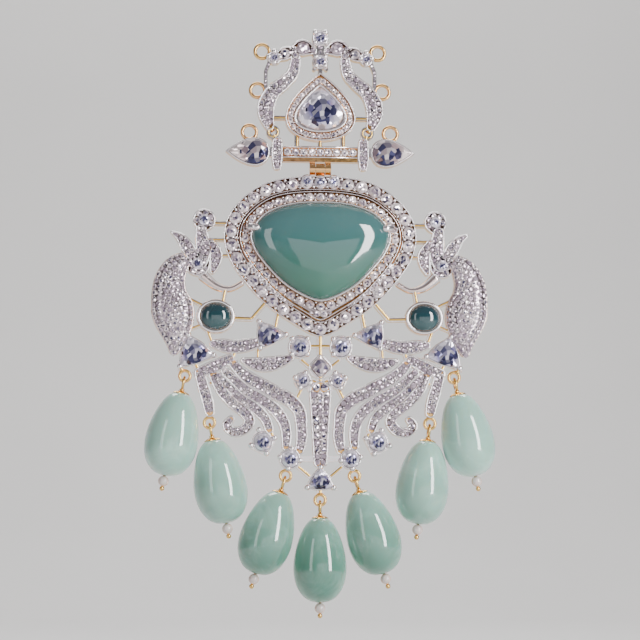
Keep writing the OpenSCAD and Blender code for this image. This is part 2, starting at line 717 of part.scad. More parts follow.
module upper_frame() {
    color(white_metal) difference() {
        union() {
            slab(-plate_back, leaf_top) closed() upper_plate();
            slab(0, pear_rail) offset(delta = -halo_edge) polygon(pear(pear_outer));
            slab(0, claw_top - star_claw_drop) offset(delta = -claw_step)
                claws([star_stone[0], star_stone[1]], star_stone[2] + claw_reach + seat_gap, 4, 45);
            both_sides() for (p = strand_rings) translate([p[0], hang_y, p[1]]) rotate([90, 0, 0])
                rotate_extrude($fn = 48) translate([ring_r, 0]) circle(r = ring_wire_r, $fn = 24);
            both_sides() {
                knuckle(knuckle_w / 2 + side_gap, hinge_w / 2);
                translate([knuckle_w / 2 + side_gap, bite / 2 - plate_front, hinge_z])
                    cube([(hinge_w - knuckle_w) / 2 - side_gap, plate_back + plate_front - bite, ear_web_h]);
            }
        }
        slab(plate_front, 2 * collet_top) offset(delta = 0.01) upper_channels();
        slab(pear_floor, 2 * collet_top) offset(delta = 0.01) difference() {
            offset(delta = -pear_rail_in) polygon(pear(pear_outer));
            offset(delta = -pear_channel_in) polygon(pear(pear_outer));
        }
        slab(groove_floor, 2 * collet_top) offset(delta = 0.01) difference() {
            offset(delta = -pear_channel_in - pear_collet_step) polygon(pear(pear_outer));
            offset(delta = -pear_collet_in) polygon(pear(pear_outer));
        }
        slab(pear_seat, 2 * collet_top) offset(delta = seat_gap) polygon(pear(pear_stone));
        hinge_bore(pin_r + press_gap);
    }
}

module hinge_pin() {
    color(gold) translate([-hinge_w / 2, hinge_y, hinge_z]) rotate([0, 90, 0])
        cylinder(r = pin_r, h = hinge_w, $fn = 48);
}

module upper_pear_stone() {
    color(clear_stone) cut_stone(pear_mid, moved(pear(pear_stone, 24), pear_mid), pear_cut);
}

module upper_round_stone(stone, cut) {
    color(clear_stone) cut_stone([stone[0], stone[1]], round_outline(stone[2]), cut);
}

module upper_end_stone() {
    color(clear_stone) cut_stone(end_mid, moved(end_outline(0), end_mid), end_cut);
}

module upper_halo_stones() {
    color(clear_stone) for (p = pear_places) round_stone(p, pear_row_d, pear_rail - row_sink[0]);
}

module upper_bar_stones() {
    color(clear_stone) for (p = bar_places) cut_stone(p, round_outline(bar_d / 2), bar_cut);
}

module centre_stone() {
    color(mint_stone)
        dome_stone(centre_mid, moved(centre_outline, centre_mid), centre_seat, dome_h, centre_wall);
}

module outer_halo_stones() {
    color(clear_stone) for (p = outer_places) round_stone(p, outer_d, outer_rail - row_sink[1]);
}

module inner_halo_stones() {
    color(clear_stone) for (p = inner_places) round_stone(p, inner_d, inner_rail - row_sink[2]);
}

module oval_stone() {
    color(teal_stone)
        dome_stone(oval_mid, oval_outline(oval_half), plate_front + seat_gap, oval_rise, oval_wall);
}

module corner_stone(corners) {
    color(clear_stone) cut_stone(middle(corners), clockwise(cut_corners(corners)), corner_stone_cut);
}

// Outline of the square stone: an octagon that reaches a little past the square's half size
square_reach = 1.12;
module square_stone() {
    outline = [
        for (k = [0:7]) let (a = 22.5 + 45 * k - square_turn) square_half * square_reach * [sin(a), cos(a)]];
    color(clear_stone) cut_stone(square_mid, outline, corner_stone_cut);
}

module claw_stone(stone) {
    color(clear_stone) cut_stone([stone[0], stone[1]], round_outline(stone[2], 12), claw_cut);
}

// Outline of the kite stone: its four points and four shoulders, as shares of its half sizes
kite_outline = [[0, 1], [0.62, 0.5], [1, 0], [0.62, -0.5], [0, -1], [-0.62, -0.5], [-1, 0], [-0.62, 0.5]];
module kite_stone() {
    color(clear_stone)
        cut_stone(kite_mid, [for (p = kite_outline) [p[0] * kite_half[0], p[1] * kite_half[1]]], kite_cut);
}

// Everything of one drop is drawn hanging straight under its eyelet, and then leant over
module hung(place) {
    translate([place[0], hang_y, place[1]]) rotate([0, -place[2], 0]) children();
}

// Egg-shaped bead: r = R (sin(180 t^1.36))^(0.28 + 0.1 t), t from its top to its broad bottom
drop_skew = 1.36;
drop_fullness = [0.28, 0.1];
drop_rings = 18;
function drop_radius(t) = drop_r * pow(sin(180 * pow(t, drop_skew)), drop_fullness[0] + drop_fullness[1] * t);
module drop_bead(place) {
    profile = [for (k = [1:drop_rings - 1]) let (t = (1 - cos(180 * k / drop_rings)) / 2)
        [drop_radius(t), -t * drop_len]];
    color(mint_stone) hung(place) translate([0, 0, -bead_top]) rotate_extrude($fn = 64)
        polygon(concat([[drop_bore_r, 0]], profile, [[drop_bore_r, -drop_len]]));
}

module drop_wire(place) {
    color(gold) hung(place) {
        translate([0, 0, -loop_drop]) rotate([0, 90, 0])
            rotate_extrude($fn = 48) translate([loop_r, 0]) circle(r = wire_r, $fn = 24);
        translate([0, 0, -pin_head_drop])
            cylinder(r = wire_r, h = pin_head_drop - loop_drop - loop_r, $fn = 24);
        translate([0, 0, -bead_top]) rotate_extrude($fn = 32)
            polygon(cap_profile);
        translate([0, 0, -pin_head_drop]) sphere(r = pin_head_r, $fn = 32);
    }
}

module drop_end(place) {
    color(white_metal) hung(place) translate([0, 0, -end_bead_drop]) difference() {
        sphere(r = end_bead_r, $fn = 32);
        cylinder(r = drop_bore_r, h = 4 * end_bead_r, center = true, $fn = 24);
    }
}

upper_frame();
upper_pear_stone();
upper_round_stone(crown_stone, crown_cut);  // upper_crown_stone
upper_round_stone(star_stone, star_cut);  // upper_claw_stone
mirror([1, 0, 0]) upper_round_stone(side_stone, side_cut);  // upper_side_stone_left
upper_round_stone(side_stone, side_cut);  // upper_side_stone_right
mirror([1, 0, 0]) upper_end_stone();  // upper_end_stone_left
upper_end_stone();  // upper_end_stone_right
upper_halo_stones();
upper_bar_stones();
hinge_pin();
peacock_frame();
centre_stone();
outer_halo_stones();
inner_halo_stones();
mirror([1, 0, 0]) oval_stone();  // oval_stone_left
oval_stone();  // oval_stone_right
mirror([1, 0, 0]) corner_stone(tail_trillion);  // tail_trillion_left
corner_stone(tail_trillion);  // tail_trillion_right
mirror([1, 0, 0]) corner_stone(side_trillion);  // side_trillion_left
corner_stone(side_trillion);  // side_trillion_right
mirror([1, 0, 0]) square_stone();  // square_stone_left
square_stone();  // square_stone_right
mirror([1, 0, 0]) claw_stone(shoulder_stone);  // shoulder_stone_left
claw_stone(shoulder_stone);  // shoulder_stone_right
mirror([1, 0, 0]) claw_stone(neck_stone);  // neck_stone_left
claw_stone(neck_stone);  // neck_stone_right
mirror([1, 0, 0]) claw_stone(foot_stone);  // foot_stone_left
claw_stone(foot_stone);  // foot_stone_right
kite_stone();
corner_stone(tip_corners);  // tip_stone
for (k = [0:6]) {
    drop_bead(drop_places[k]);
    drop_wire(drop_places[k]);
    drop_end(drop_places[k]);
}
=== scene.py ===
"""Peacock pendant: stones, claws, rails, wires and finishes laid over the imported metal.

Every table of places and sizes is in millimetres, and pieces are put into their meshes in metres.
"""

import bpy
import numpy as np
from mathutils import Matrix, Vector


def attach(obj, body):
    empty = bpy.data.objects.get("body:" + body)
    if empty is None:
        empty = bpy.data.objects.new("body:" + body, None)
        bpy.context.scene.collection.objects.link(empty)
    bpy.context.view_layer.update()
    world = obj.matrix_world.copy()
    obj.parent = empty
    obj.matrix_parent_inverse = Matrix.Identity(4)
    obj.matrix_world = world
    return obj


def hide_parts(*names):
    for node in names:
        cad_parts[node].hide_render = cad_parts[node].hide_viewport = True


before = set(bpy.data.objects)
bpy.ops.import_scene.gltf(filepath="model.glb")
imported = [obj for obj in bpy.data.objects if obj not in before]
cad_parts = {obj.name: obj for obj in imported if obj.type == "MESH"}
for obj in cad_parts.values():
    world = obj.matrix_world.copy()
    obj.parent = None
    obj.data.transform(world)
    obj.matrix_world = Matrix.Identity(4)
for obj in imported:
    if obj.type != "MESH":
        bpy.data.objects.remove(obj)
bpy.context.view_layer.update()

bl_info = {
    "name": "Peacock pendant",
    "version": (1, 0, 0),
    "blender": (4, 5, 0),
    "location": "3D View > Sidebar > Pendant",
    "description": "Sets the stones of a hinged peacock pendant and finishes its metal",
    "category": "Object",
}

MM = 0.001
SIDES = (("left", -1), ("right", 1))

# Heights in front of the middle plane of the plates
CHANNEL_FLOOR = 0.4
# Front and back of the thin dark plates of painted shade under the pave
BED_BACK, BED_TOP = 0.42, 0.62
LEAF_TOP = 0.9
OUTER_RAIL = 1.4
INNER_RAIL = 1.9
COLLET_TOP = 2.7
CENTRE_SEAT = 1.4
PEAR_RAIL = 1.5
OVAL_TOP = 1.3
CLAW_TOP = 1.7
GIRDLE = 1.2
# Room between a leaf's edge and its rail, its dark plate of painted shade and its stones
RAIL_INSET, BED_INSET, PAVE_MARGIN = 0.15, 0.18, 0.22
# How deep the round bodies sit in their leaf, and the diameter of the stone in the middle of a round field
BITE = 0.1
BUMP_D = 1.9
# How far outside a stone's edge its claw tips stand
TIP_OUT = 0.15
# The hinge, which stays gold: half its width, its top and its bottom
HINGE_HALF, HINGE_TOP, HINGE_BOTTOM = 8.4, -15.5, -19.5
# Sleeves of the struts: middle height, how far they stand out over the strut, and half their depth
SLEEVE_MIDDLE, SLEEVE_GROW, SLEEVE_DEEP = 0.05, 0.06, 0.98

# Right half of the halo's and the centre stone's outlines, x and z, from the top down
HALO_HALF = [
    (0, -19.7), (9.0, -20.5), (15.0, -23.0), (19.8, -27.7), (21.5, -33.0),
    (20.5, -38.1), (17.4, -43.0), (12.3, -48.6), (6.3, -52.9), (0, -55.8),
]
CENTRE_HALF = [
    (0, -26.1), (6.6, -26.6), (12.0, -28.7), (15.1, -32.6), (14.4, -36.35),
    (11.75, -40.0), (8.2, -43.7), (4.2, -46.3), (0, -47.7),
]
# Claw at the right of the centre stone, from its foot to its tip: x, y, z
CENTRE_CLAW = [(16.2, -INNER_RAIL, -31.5), (15.6, -3.4, -31.7), (14.6, -3.9, -31.9), (13.8, -4.3, -32.1)]
# Middle of the centre stone, rise of its dome and height of its wall
CENTRE_MID = (0, -35.6)
CENTRE_RISE = 4.8
CENTRE_WALL = 0.9
# Widths of the halo's outer band, of the groove inside it, of the collet and of the room round the stone
OUTER_BAND = 3.1
GROOVE = 0.45
COLLET_W = 0.45
COLLET_ROOM = 0.1
# Stones of the halo's two rows: diameter and count
OUTER_D, OUTER_COUNT = 2.7, 36
INNER_D, INNER_COUNT = 1.9, 38

# Leaves of the upper plaque, right side: x, z, width
UPPER_LEAVES = {
    "arm": [
        (5.6, 8.0, 2.0), (5.7, 6.0, 2.4), (6.4, 3.6, 2.7), (8.4, 1.5, 3.0), (10.8, -0.6, 3.4),
        (12.1, -3.3, 3.9), (12.2, -5.7, 3.6), (11.5, -8.1, 2.4),
    ],
    "lobe_inner": [(1.5, 9.1, 1.6), (3.9, 9.8, 3.8), (6.2, 9.2, 1.9)],
    "lobe_outer": [(5.9, 9.1, 1.8), (7.9, 8.4, 3.0), (9.8, 7.5, 1.8)],
    "column": [(9.7, -11.9, 2.2), (9.7, -14.8, 2.5), (9.7, -17.3, 2.0)],
}
# Leaves of the peacock plate, right side: x, z, width
PEACOCK_LEAVES = {
    "crest_outer": [(33.1, -32.7, 0.5), (31.2, -33.9, 2.0), (29.7, -35.9, 3.0), (28.2, -38.2, 2.4)],
    "crest_middle": [(26.6, -32.2, 2.6), (26.1, -36.3, 3.5), (26.9, -39.3, 3.6)],
    "crest_inner": [(24.6, -34.5, 1.4), (23.3, -37.2, 2.8), (23.4, -39.5, 2.4), (24.0, -41.4, 1.2)],
    "wing": [
        (23.7, -57.6, 1.8), (21.6, -57.9, 2.9), (19.2, -58.2, 3.0), (16.5, -57.9, 2.9), (14.4, -57.3, 2.4),
    ],
    "root": [(20.1, -60.9, 2.2), (23.4, -62.6, 2.8), (26.7, -64.0, 2.4)],
    "shoulder": [
        (17.1, -61.2, 1.2), (14.1, -62.0, 3.0), (11.1, -62.0, 3.3), (8.1, -61.2, 2.4), (6.5, -60.5, 1.4),
    ],
    "plume_1": [
        (19.2, -62.0, 2.2), (16.4, -64.7, 2.8), (10.5, -68.0, 3.1), (6.9, -69.9, 3.0),
        (4.7, -72.3, 2.9), (4.2, -75.4, 2.6), (4.1, -78.4, 2.5), (4.6, -81.0, 2.1),
    ],
    "plume_2": [
        (21.1, -63.6, 1.9), (16.6, -67.7, 2.5), (12.9, -69.9, 2.6), (9.8, -72.3, 2.7),
        (8.0, -75.0, 2.5), (7.5, -77.7, 2.3), (7.6, -80.2, 1.9),
    ],
    "plume_3": [
        (22.6, -64.6, 1.7), (18.0, -69.3, 2.3), (14.8, -71.5, 2.5), (12.3, -73.9, 2.3), (11.3, -76.4, 2.0),
    ],
    "plume_4": [
        (23.6, -64.4, 2.2), (22.0, -67.7, 2.4), (19.4, -70.6, 2.5), (16.7, -72.7, 2.5),
        (15.6, -74.7, 2.4), (16.9, -76.6, 2.3), (19.3, -77.0, 2.2), (20.6, -75.5, 2.0), (19.7, -74.2, 1.6),
    ],
    "plume_5": [(26.7, -63.9, 2.2), (25.9, -66.9, 2.5), (24.9, -70.2, 2.6), (24.4, -72.7, 2.2)],
}
STEM_ROWS = [(0, -68.1, 4.9), (0, -73.0, 4.3), (0, -78.4, 3.6), (0, -83.4, 3.1)]
# Larger stones set in the lobes, right side: x, z, diameter
LOBE_STONES = [(3.85, 9.7, 3.05), (7.95, 8.4, 2.3)]
# Stones that fill the lower side of the head, right side: x, z, diameter
HEAD_STONES = [(26.2, -41.5, 1.2), (27.2, -41.9, 1.0), (25.3, -40.8, 1.0), (25.5, -41.5, 0.8)]
# Beak and round body, right side: x, z, width
BEAK_ROWS = [(26.1, -42.3, 2.2), (23.1, -44.7, 1.5), (20.1, -45.3, 1.0), (17.3, -43.9, 0.9)]
BODY_ROWS = [
    (29.9, -38.6, 3.0), (31.9, -40.4, 5.2), (33.3, -43.3, 6.7), (33.5, -46.5, 7.9),
    (32.8, -49.8, 9.5), (32.3, -53.0, 8.6), (32.1, -56.2, 5.6), (32.3, -59.0, 2.2),
]
# Width of the round bodies as a share of their leaf, and their rise where they are widest
BODY_SHARE = 0.94
BODY_RISE = 2.0
# Round pave fields: x, z, radius
HEAD = (27.3, -39.7, 2.8)
CREST_TOP = (25.9, -29.9, 2.5)

# Gold struts, right side: x1, z1, x2, z2, width
STRUTS = [
    (23.8, -30.6, 20.7, -30.6, 0.9), (24.4, -34.3, 21.0, -34.3, 0.7), (22.9, -37.8, 19.9, -37.8, 0.7),
    (21.1, -45.3, 21.7, -48.6, 1.0), (19.6, -51.8, 15.3, -51.9, 1.1), (15.3, -51.9, 12.3, -48.4, 1.1),
    (25.2, -54.0, 24.0, -57.2, 1.0), (9.9, -53.7, 9.3, -50.4, 1.1), (13.7, -57.3, 13.9, -61.2, 0.9),
    (18.9, -59.4, 19.6, -61.6, 1.0), (2.0, -62.8, 4.2, -61.0, 0.9), (3.9, -67.0, 5.4, -70.0, 1.0),
    (10.4, -78.0, 11.3, -76.2, 1.0), (2.3, -86.7, 4.8, -84.6, 1.0), (16.4, -70.4, 17.8, -71.8, 0.9),
    (12.2, -71.8, 13.2, -70.6, 0.8), (24.4, -66.4, 22.4, -65.2, 0.9), (28.2, -60.6, 26.9, -63.6, 1.2),
    (29.2, -55.9, 31.2, -57.0, 1.6), (30.9, -61.6, 30.6, -63.6, 1.1),
    (26.3, -48.9, 29.4, -47.4, 0.9), (26.6, -53.4, 29.4, -54.6, 0.8), (0.0, -57.9, 2.2, -57.9, 1.0),
    (-1.7, -65.6, 1.7, -67.4, 0.9),
]
MIDDLE_STRUTS = [(0, -55.4, 0, -60.6, 1.3), (0, -64.4, 0, -66.6, 1.3), (0, -89.6, 0, -90.4, 1.2)]
UPPER_STRUTS = [
    (7.6, -6.4, 10.6, -6.4, 0.8), (5.2, -10.2, 5.2, -13.2, 0.8), (0, -11.4, 0, -13.2, 0.9),
    (11.2, -8.4, 10.9, -9.4, 1.2), (10.4, -10.4, 10.2, -11.4, 1.2), (11.6, -14.2, 12.4, -14.2, 1.9),
]
# Line of the small stones down each side of the upper plaque, right side
SIDE_LINE = [(11.3, 6.8), (12.3, 4.2), (12.3, 0.6)]
# Ring between an arm and its column, and the rings that the drops hang from
HOOK_RING, HOOK_R = (10.6, -9.7), 1.07
EYELET_R = 1.17

# Three-cornered stones, right side: corners x, z
TAIL_TRILLION = [(31.2, -62.9), (23.4, -60.2), (29.2, -55.6)]
SIDE_TRILLION = [(13.7, -52.5), (7.5, -55.5), (13.4, -58.6)]
TIP_CORNERS = [(0, -84.7), (-3.0, -89.3), (3.0, -89.3)]
# Round claw stones, right side: x, z, radius, angle of the first claw
CLAW_STONES = {
    "shoulder_stone": (4.6, -58.1, 2.1, 45), "neck_stone": (3.9, -65.6, 1.45, 20),
    "foot_stone": (6.7, -82.9, 1.9, 10),
}
# Two small stones on the post under the crown stone: x, z, diameter
POST_STONES = [(0, 10.0, 1.2), (0, 8.9, 1.0)]
# Round stones of the upper plaque: the crown stone, the claw stone under it, and one at the right side
CROWN_MID, CLAW_MID = (0, 12.1), (0, 6.6)
SIDE_STONE, SIDE_STONE_R = (10.4, 7.4), 1.1
# Oval, square and kite stones: middle, half size, and the square's turn in degrees
OVAL_MID, OVAL_HALF = (23.2, -51.5), (3.4, 2.9)
SQUARE_MID, SQUARE_HALF, SQUARE_TURN = (12.7, -79.2), 2.0, 27
KITE_MID, KITE_HALF = (0, -62.6), (2.2, 2.4)
# Room that the pave leaves: outside a claw stone, and as a radius round each other thing
CLAW_ROOM, SQUARE_ROOM, OVAL_ROOM, TRILLION_ROOM, CORNER_ROOM = 0.75, 2.9, 4.5, 2.7, 0.9
EYELET_ROOM, HOOK_ROOM = 1.75, 1.6
# The three larger stones at the top of the halo, x and z
TOP_STONES = [(-3.0, -20.9), (0, -21.1), (3.0, -20.9)]

# Teardrops of the upper plaque: half width, top and bottom; the fullness is the greatest of sin t sin(t / 2)
PEAR_OUTER = (7.9, 4.0, -11.7)
PEAR_STONE = (5.1, 0.7, -9.1)
PEAR_FULLNESS = 0.7698
# Middle of the pear stone, and the row round it: how many stones, and how far inside the outer line
PEAR_MID = (0, -4.6)
PEAR_STONES, PEAR_LINE = 25, 1.13
# End stones of the bar: middle, tip, back and half height; its row of stones: height, pitch and count
END_MID, END_TIP_X, END_BACK_X, END_HALF_H = (14.6, -14.2), 20.6, 11.75, 2.85
BAR_Z, BAR_PITCH, BAR_COUNT = -14.2, 1.84, 9

# Drops: x and z of the eyelet, lean in degrees
DROPS = [
    (-29.9, -64.7, -11), (-24.4, -75.0, 10), (-7.6, -86.6, -17), (0, -91.9, 0),
    (7.6, -86.6, 17), (24.4, -75.0, -7), (29.9, -64.7, 12),
]
# Depth of the plane they hang in, size of the beads, and how far under the eyelet's middle things lie
HANG_Y = 0.2
DROP_LEN, DROP_R = 18.6, 5.87
BEAD_TOP = 3.75
LOOP_DROP, LOOP_R, WIRE_R = 1.6, 1.35, 0.3
COIL_R, COIL_LEN = 0.42, 0.5
# Petal cap: radius, and height over the bead's top
CAP_ROWS = [
    (0, 0.5), (0.45, 0.46), (0.9, 0.3), (1.3, 0.08), (1.6, -0.12), (1.72, -0.24), (1.55, -0.26), (0.9, 0.02),
    (0, 0.1),
]
END_BEAD_R = 1.15
END_BEAD_DROP = BEAD_TOP + DROP_LEN + 1.2
PIN_HEAD_DROP, PIN_HEAD_R = END_BEAD_DROP + 1.65, 0.55


def smooth_rows(rows, steps, closed=False):
    """A Catmull-Rom curve through the rows, between b and c of each four in a row:
    0.5 (2b + (c - a) t + (2a - 5b + 4c - d) t^2 + (3b - a - 3c + d) t^3)."""
    p = np.asarray(rows, float)
    n = len(p)
    i = np.arange(n if closed else n - 1)
    if closed:
        a, b, c, d = p[(i - 1) % n], p[i], p[(i + 1) % n], p[(i + 2) % n]
    else:
        a, b, c, d = p[np.maximum(i - 1, 0)], p[i], p[i + 1], p[np.minimum(i + 2, n - 1)]
    a, b, c, d = (q[:, None, :] for q in (a, b, c, d))
    t = (np.arange(steps) / steps)[None, :, None]
    curve = 0.5 * (2 * b + (c - a) * t + (2 * a - 5 * b + 4 * c - d) * t**2 + (3 * b - a - 3 * c + d) * t**3)
    curve = curve.reshape(-1, p.shape[1])
    return curve if closed else np.vstack([curve, p[-1]])


def whole_outline(half, steps=8):
    """A closed outline, clockwise from the top, from the rows of its right half."""
    half = np.asarray(half, float)
    return smooth_rows(np.vstack([half, half[-2:0:-1] * (-1, 1)]), steps, closed=True)


def headings(curve, closed=False):
    """Unit directions along a curve, from the points on both sides of each."""
    if closed:
        d = np.roll(curve, -1, 0) - np.roll(curve, 1, 0)
    else:
        d = np.gradient(curve, axis=0)
    return d / np.linalg.norm(d, axis=1, keepdims=True)


def left_of(way):
    """Directions turned a quarter to the left: (x, z) becomes (-z, x)."""
    return np.stack([-way[:, 1], way[:, 0]], 1)


def inset(outline, d):
    """A clockwise outline in x and z moved inwards by d, along the normals."""
    return outline - left_of(headings(outline, True)) * d


def gaps(points, others):
    """Distances in x and z from each point to each of the others."""
    return np.hypot(points[:, 0, None] - others[None, :, 0], points[:, 1, None] - others[None, :, 1])


def run_lengths(curve):
    """Length along a curve at each of its points."""
    return np.concatenate([[0], np.cumsum(np.linalg.norm(np.diff(curve[:, :2], axis=0), axis=1))])


def along(curve, s):
    """Rows of a curve at the lengths s, in straight steps."""
    runs = run_lengths(curve)
    return np.stack([np.interp(s, runs, column) for column in curve.T], 1)


def spread(outline, count, start=0.0):
    """Points spread evenly along a closed outline."""
    ring = np.vstack([outline, outline[:1]])
    total = run_lengths(ring)[-1]
    return along(ring, (np.arange(count) + start) * total / count % total)


def pear(size, count=48):
    """Teardrop outline, clockwise from its point: x = W sin t sin(t / 2), z = middle + half height cos t."""
    t = np.arange(count) * 2 * np.pi / count
    half = np.where(t > np.pi, 2 * np.pi - t, t)
    x = np.where(t > np.pi, -1, 1) * size[0] / PEAR_FULLNESS * np.sin(half) * np.sin(half / 2)
    return np.stack([x, (size[1] + size[2]) / 2 + (size[1] - size[2]) / 2 * np.cos(half)], 1)


def end_outline(grow, count=24):
    """Outline of an end stone of the bar: a teardrop that points outwards."""
    p = pear((END_HALF_H + grow, END_TIP_X - END_MID[0] + 1.5 * grow, END_BACK_X - END_MID[0] - grow), count)
    return np.array(END_MID) + np.stack([p[:, 1], -p[:, 0]], 1)


def mirrored(points):
    """The same places on the left side."""
    return points * np.array([-1] + [1] * (points.shape[1] - 1))


def fronts(places, height):
    """Points in x and z set at a height in front of the middle plane."""
    places = np.atleast_2d(np.asarray(places, float))
    y = np.broadcast_to(-np.asarray(height, float), len(places))
    return np.stack([places[:, 0], y, places[:, 1]], 1)


def joined(shapes):
    """Several shapes, each its points and its lists of faces, as one."""
    points, faces, start = [], [], 0
    for p, f in shapes:
        points.append(p)
        faces += [g + start for g in f]
        start += len(p)
    return np.vstack(points), faces


def grid_faces(rows, columns, round_columns=True, round_rows=False):
    """Quads of a grid, (i, j), (i, j + 1), (i + 1, j + 1), (i + 1, j), the last row or column joined to the
    first where it goes round."""
    i = np.arange(rows if round_rows else rows - 1)
    j = np.arange(columns if round_columns else columns - 1)
    i, j = (k.ravel() for k in np.meshgrid(i, j, indexing="ij"))
    i2, j2 = (i + 1) % rows, (j + 1) % columns
    return np.stack([i * columns + j, i * columns + j2, i2 * columns + j2, i2 * columns + j], 1)


def tube(path, radius, sides=8, closed=False, across=(0, 1, 0), deep=None):
    """A wire: centre + deep cos a N + r sin a B along a path, with N towards across and B square to both.
    Each end closes on a point half a radius out."""
    path = np.asarray(path, float)
    t = headings(path, closed)
    n = np.asarray(across, float) - (t @ np.asarray(across, float))[:, None] * t
    n /= np.linalg.norm(n, axis=1, keepdims=True)
    b = np.cross(t, n)
    a = np.arange(sides) * 2 * np.pi / sides
    r = np.broadcast_to(radius, len(path))[:, None, None]
    d = r if deep is None else deep
    cos, sin = np.cos(a)[None, :, None], np.sin(a)[None, :, None]
    points = (path[:, None] + d * cos * n[:, None] + r * sin * b[:, None]).reshape(-1, 3)
    faces = [grid_faces(len(path), sides, True, closed)]
    if not closed:
        last = len(path) - 1
        j = np.arange(sides)
        k = (j + 1) % sides
        start, end = len(points), len(points) + 1
        points = np.vstack([points, path[0] - t[0] * r[0, 0] * 0.5, path[-1] + t[-1] * r[-1, 0] * 0.5])
        faces += [
            np.stack([np.full(sides, start), k, j], 1),
            np.stack([np.full(sides, end), last * sides + j, last * sides + k], 1),
        ]
    return points, faces


def both_tubes(line, height, radius, sides=8, deep=None):
    """A wire along a line in x and z, and its mirror image."""
    return [tube(fronts(side, height), radius, sides, deep=deep) for side in (line, mirrored(line))]


def other_side(shape):
    """A shape's mirror image, its faces turned round so that they still point outwards."""
    return shape[0] * (-1, 1, 1), [f[:, ::-1] for f in shape[1]]


def lathe(profile, count=48, ripple=0.0, lobes=6):
    """A surface of revolution about z, from a top pole to a bottom pole, with radius
    r (1 + ripple cos(lobes a))."""
    profile = np.asarray(profile, float)
    a = np.arange(count) * 2 * np.pi / count
    body = profile[1:-1]
    r = body[:, :1] * (1 + ripple * np.cos(lobes * a))[None, :]
    z = np.broadcast_to(body[:, 1:2], r.shape)
    points = np.stack([r * np.cos(a), r * np.sin(a), z], 2).reshape(-1, 3)
    rows = len(body)
    j = np.arange(count)
    k = (j + 1) % count
    top, bottom = len(points), len(points) + 1
    points = np.vstack([points, (0, 0, profile[0, 1]), (0, 0, profile[-1, 1])])
    return points, [
        grid_faces(rows, count)[:, ::-1],
        np.stack([np.full(count, top), j, k], 1),
        np.stack([np.full(count, bottom), (rows - 1) * count + k, (rows - 1) * count + j], 1),
    ]


def ball(radius, count=16, rings=9):
    """A sphere as a lathe shape."""
    a = np.linspace(0, np.pi, rings)
    return lathe(np.stack([radius * np.sin(a), radius * np.cos(a)], 1), count)


def brilliant(outline, crown, girdle, depth, table=0.56, star=0.8, waist=0.36):
    """A brilliant cut over an outline of 2n points, counter-clockwise about its middle: table, n stars,
    n kites, 2n upper halves, girdle, 2n lower halves and n mains down to a point. Its table, star and waist
    rings are the outline scaled. Axes: right, up, out of the front."""
    o = np.asarray(outline, float)
    m = len(o)
    n = m // 2
    even, odd = o[0::2], o[1::2]

    def level(p, w):
        """Points of one ring at a height."""
        return np.column_stack([p, np.full(len(p), w)])

    points = np.vstack([
        level(even * table, girdle + crown), level(odd * star, girdle + crown * 0.55),
        level(o, girdle), level(o, 0.0), level(odd * waist, -depth * 0.68), [[0, 0, -depth]],
    ])
    k = np.arange(n)
    t, s, g, low, p = k, n + k, 2 * n, 2 * n + m, 2 * n + 2 * m
    nxt, prv = (k + 1) % n, (k - 1) % n
    j = np.arange(m)
    tip = np.full(n, p + n)
    return points, [
        t[None, :],
        np.stack([t, s, nxt], 1),
        np.stack([t, n + prv, g + 2 * k, s], 1),
        np.stack([s, g + 2 * k, g + 2 * k + 1], 1),
        np.stack([s, g + 2 * k + 1, g + (2 * k + 2) % m], 1),
        np.stack([low + j, low + (j + 1) % m, g + (j + 1) % m, g + j], 1),
        np.stack([low + 2 * k + 1, low + 2 * k, p + k], 1),
        np.stack([low + (2 * k + 2) % m, low + 2 * k + 1, p + k], 1),
        np.stack([low + 2 * k, p + prv, tip, p + k], 1),
    ]


def round_points(count, radius=1.0, turn=0.0):
    """Points round a circle, counter-clockwise."""
    a = turn + np.arange(count) * 2 * np.pi / count
    return radius * np.stack([np.cos(a), np.sin(a)], 1)


def small_stone():
    """A small round stone of diameter 1: eight-sided table, sixteen crown faces, pointed back."""
    table = np.column_stack([round_points(8, 0.29, np.pi / 8), np.full(8, 0.17)])
    rim = np.column_stack([round_points(8, 0.5), np.zeros(8)])
    k = np.arange(8)
    nxt = (k + 1) % 8
    return np.vstack([table, rim, [[0, 0, -0.34]]]), [
        k[None, :], np.stack([k, 8 + k, 8 + nxt], 1), np.stack([k, 8 + nxt, nxt], 1),
        np.stack([8 + nxt, 8 + k, np.full(8, 16)], 1),
    ]


def grain():
    """A bead grain of radius 1: a low dome on a short neck."""
    ring = round_points(6)
    points = np.vstack([
        np.column_stack([ring, np.full(6, -0.6)]), np.column_stack([ring, np.full(6, 0.1)]),
        np.column_stack([ring * 0.66, np.full(6, 0.7)]), [[0, 0, 0.95], [0, 0, -0.6]],
    ])
    j = np.arange(6)
    k = (j + 1) % 6
    return points, [
        grid_faces(3, 6),
        np.stack([12 + j, 12 + k, np.full(6, 18)], 1), np.stack([k, j, np.full(6, 19)], 1),
    ]


FRONT = np.array([(1, 0, 0), (0, 0, 1), (0, -1, 0)], float)


def placed(template, centres, sizes=1.0, axes=FRONT):
    """Copies of one shape: centre + size (u a + v b + w c), where a, b and c are each copy's own axes."""
    points, faces = template
    centres = np.atleast_2d(centres)
    n, v = len(centres), len(points)
    axes = np.broadcast_to(axes, (n, 3, 3))
    sizes = np.broadcast_to(np.asarray(sizes, float), n)[:, None, None]
    copies = centres[:, None] + sizes * np.einsum("vk,nkc->nvc", points, axes)
    shift = (np.arange(n) * v)[:, None, None]
    return copies.reshape(-1, 3), [(f[None] + shift).reshape(-1, f.shape[1]) for f in faces]


def hung(shape, drop):
    """A shape drawn straight under an eyelet's middle, leant over by the drop's own angle."""
    a = np.radians(-drop[2])
    turn = np.array([(np.cos(a), 0, np.sin(a)), (0, 1, 0), (-np.sin(a), 0, np.cos(a))])
    return shape[0] @ turn.T + (drop[0], HANG_Y, drop[1]), shape[1]


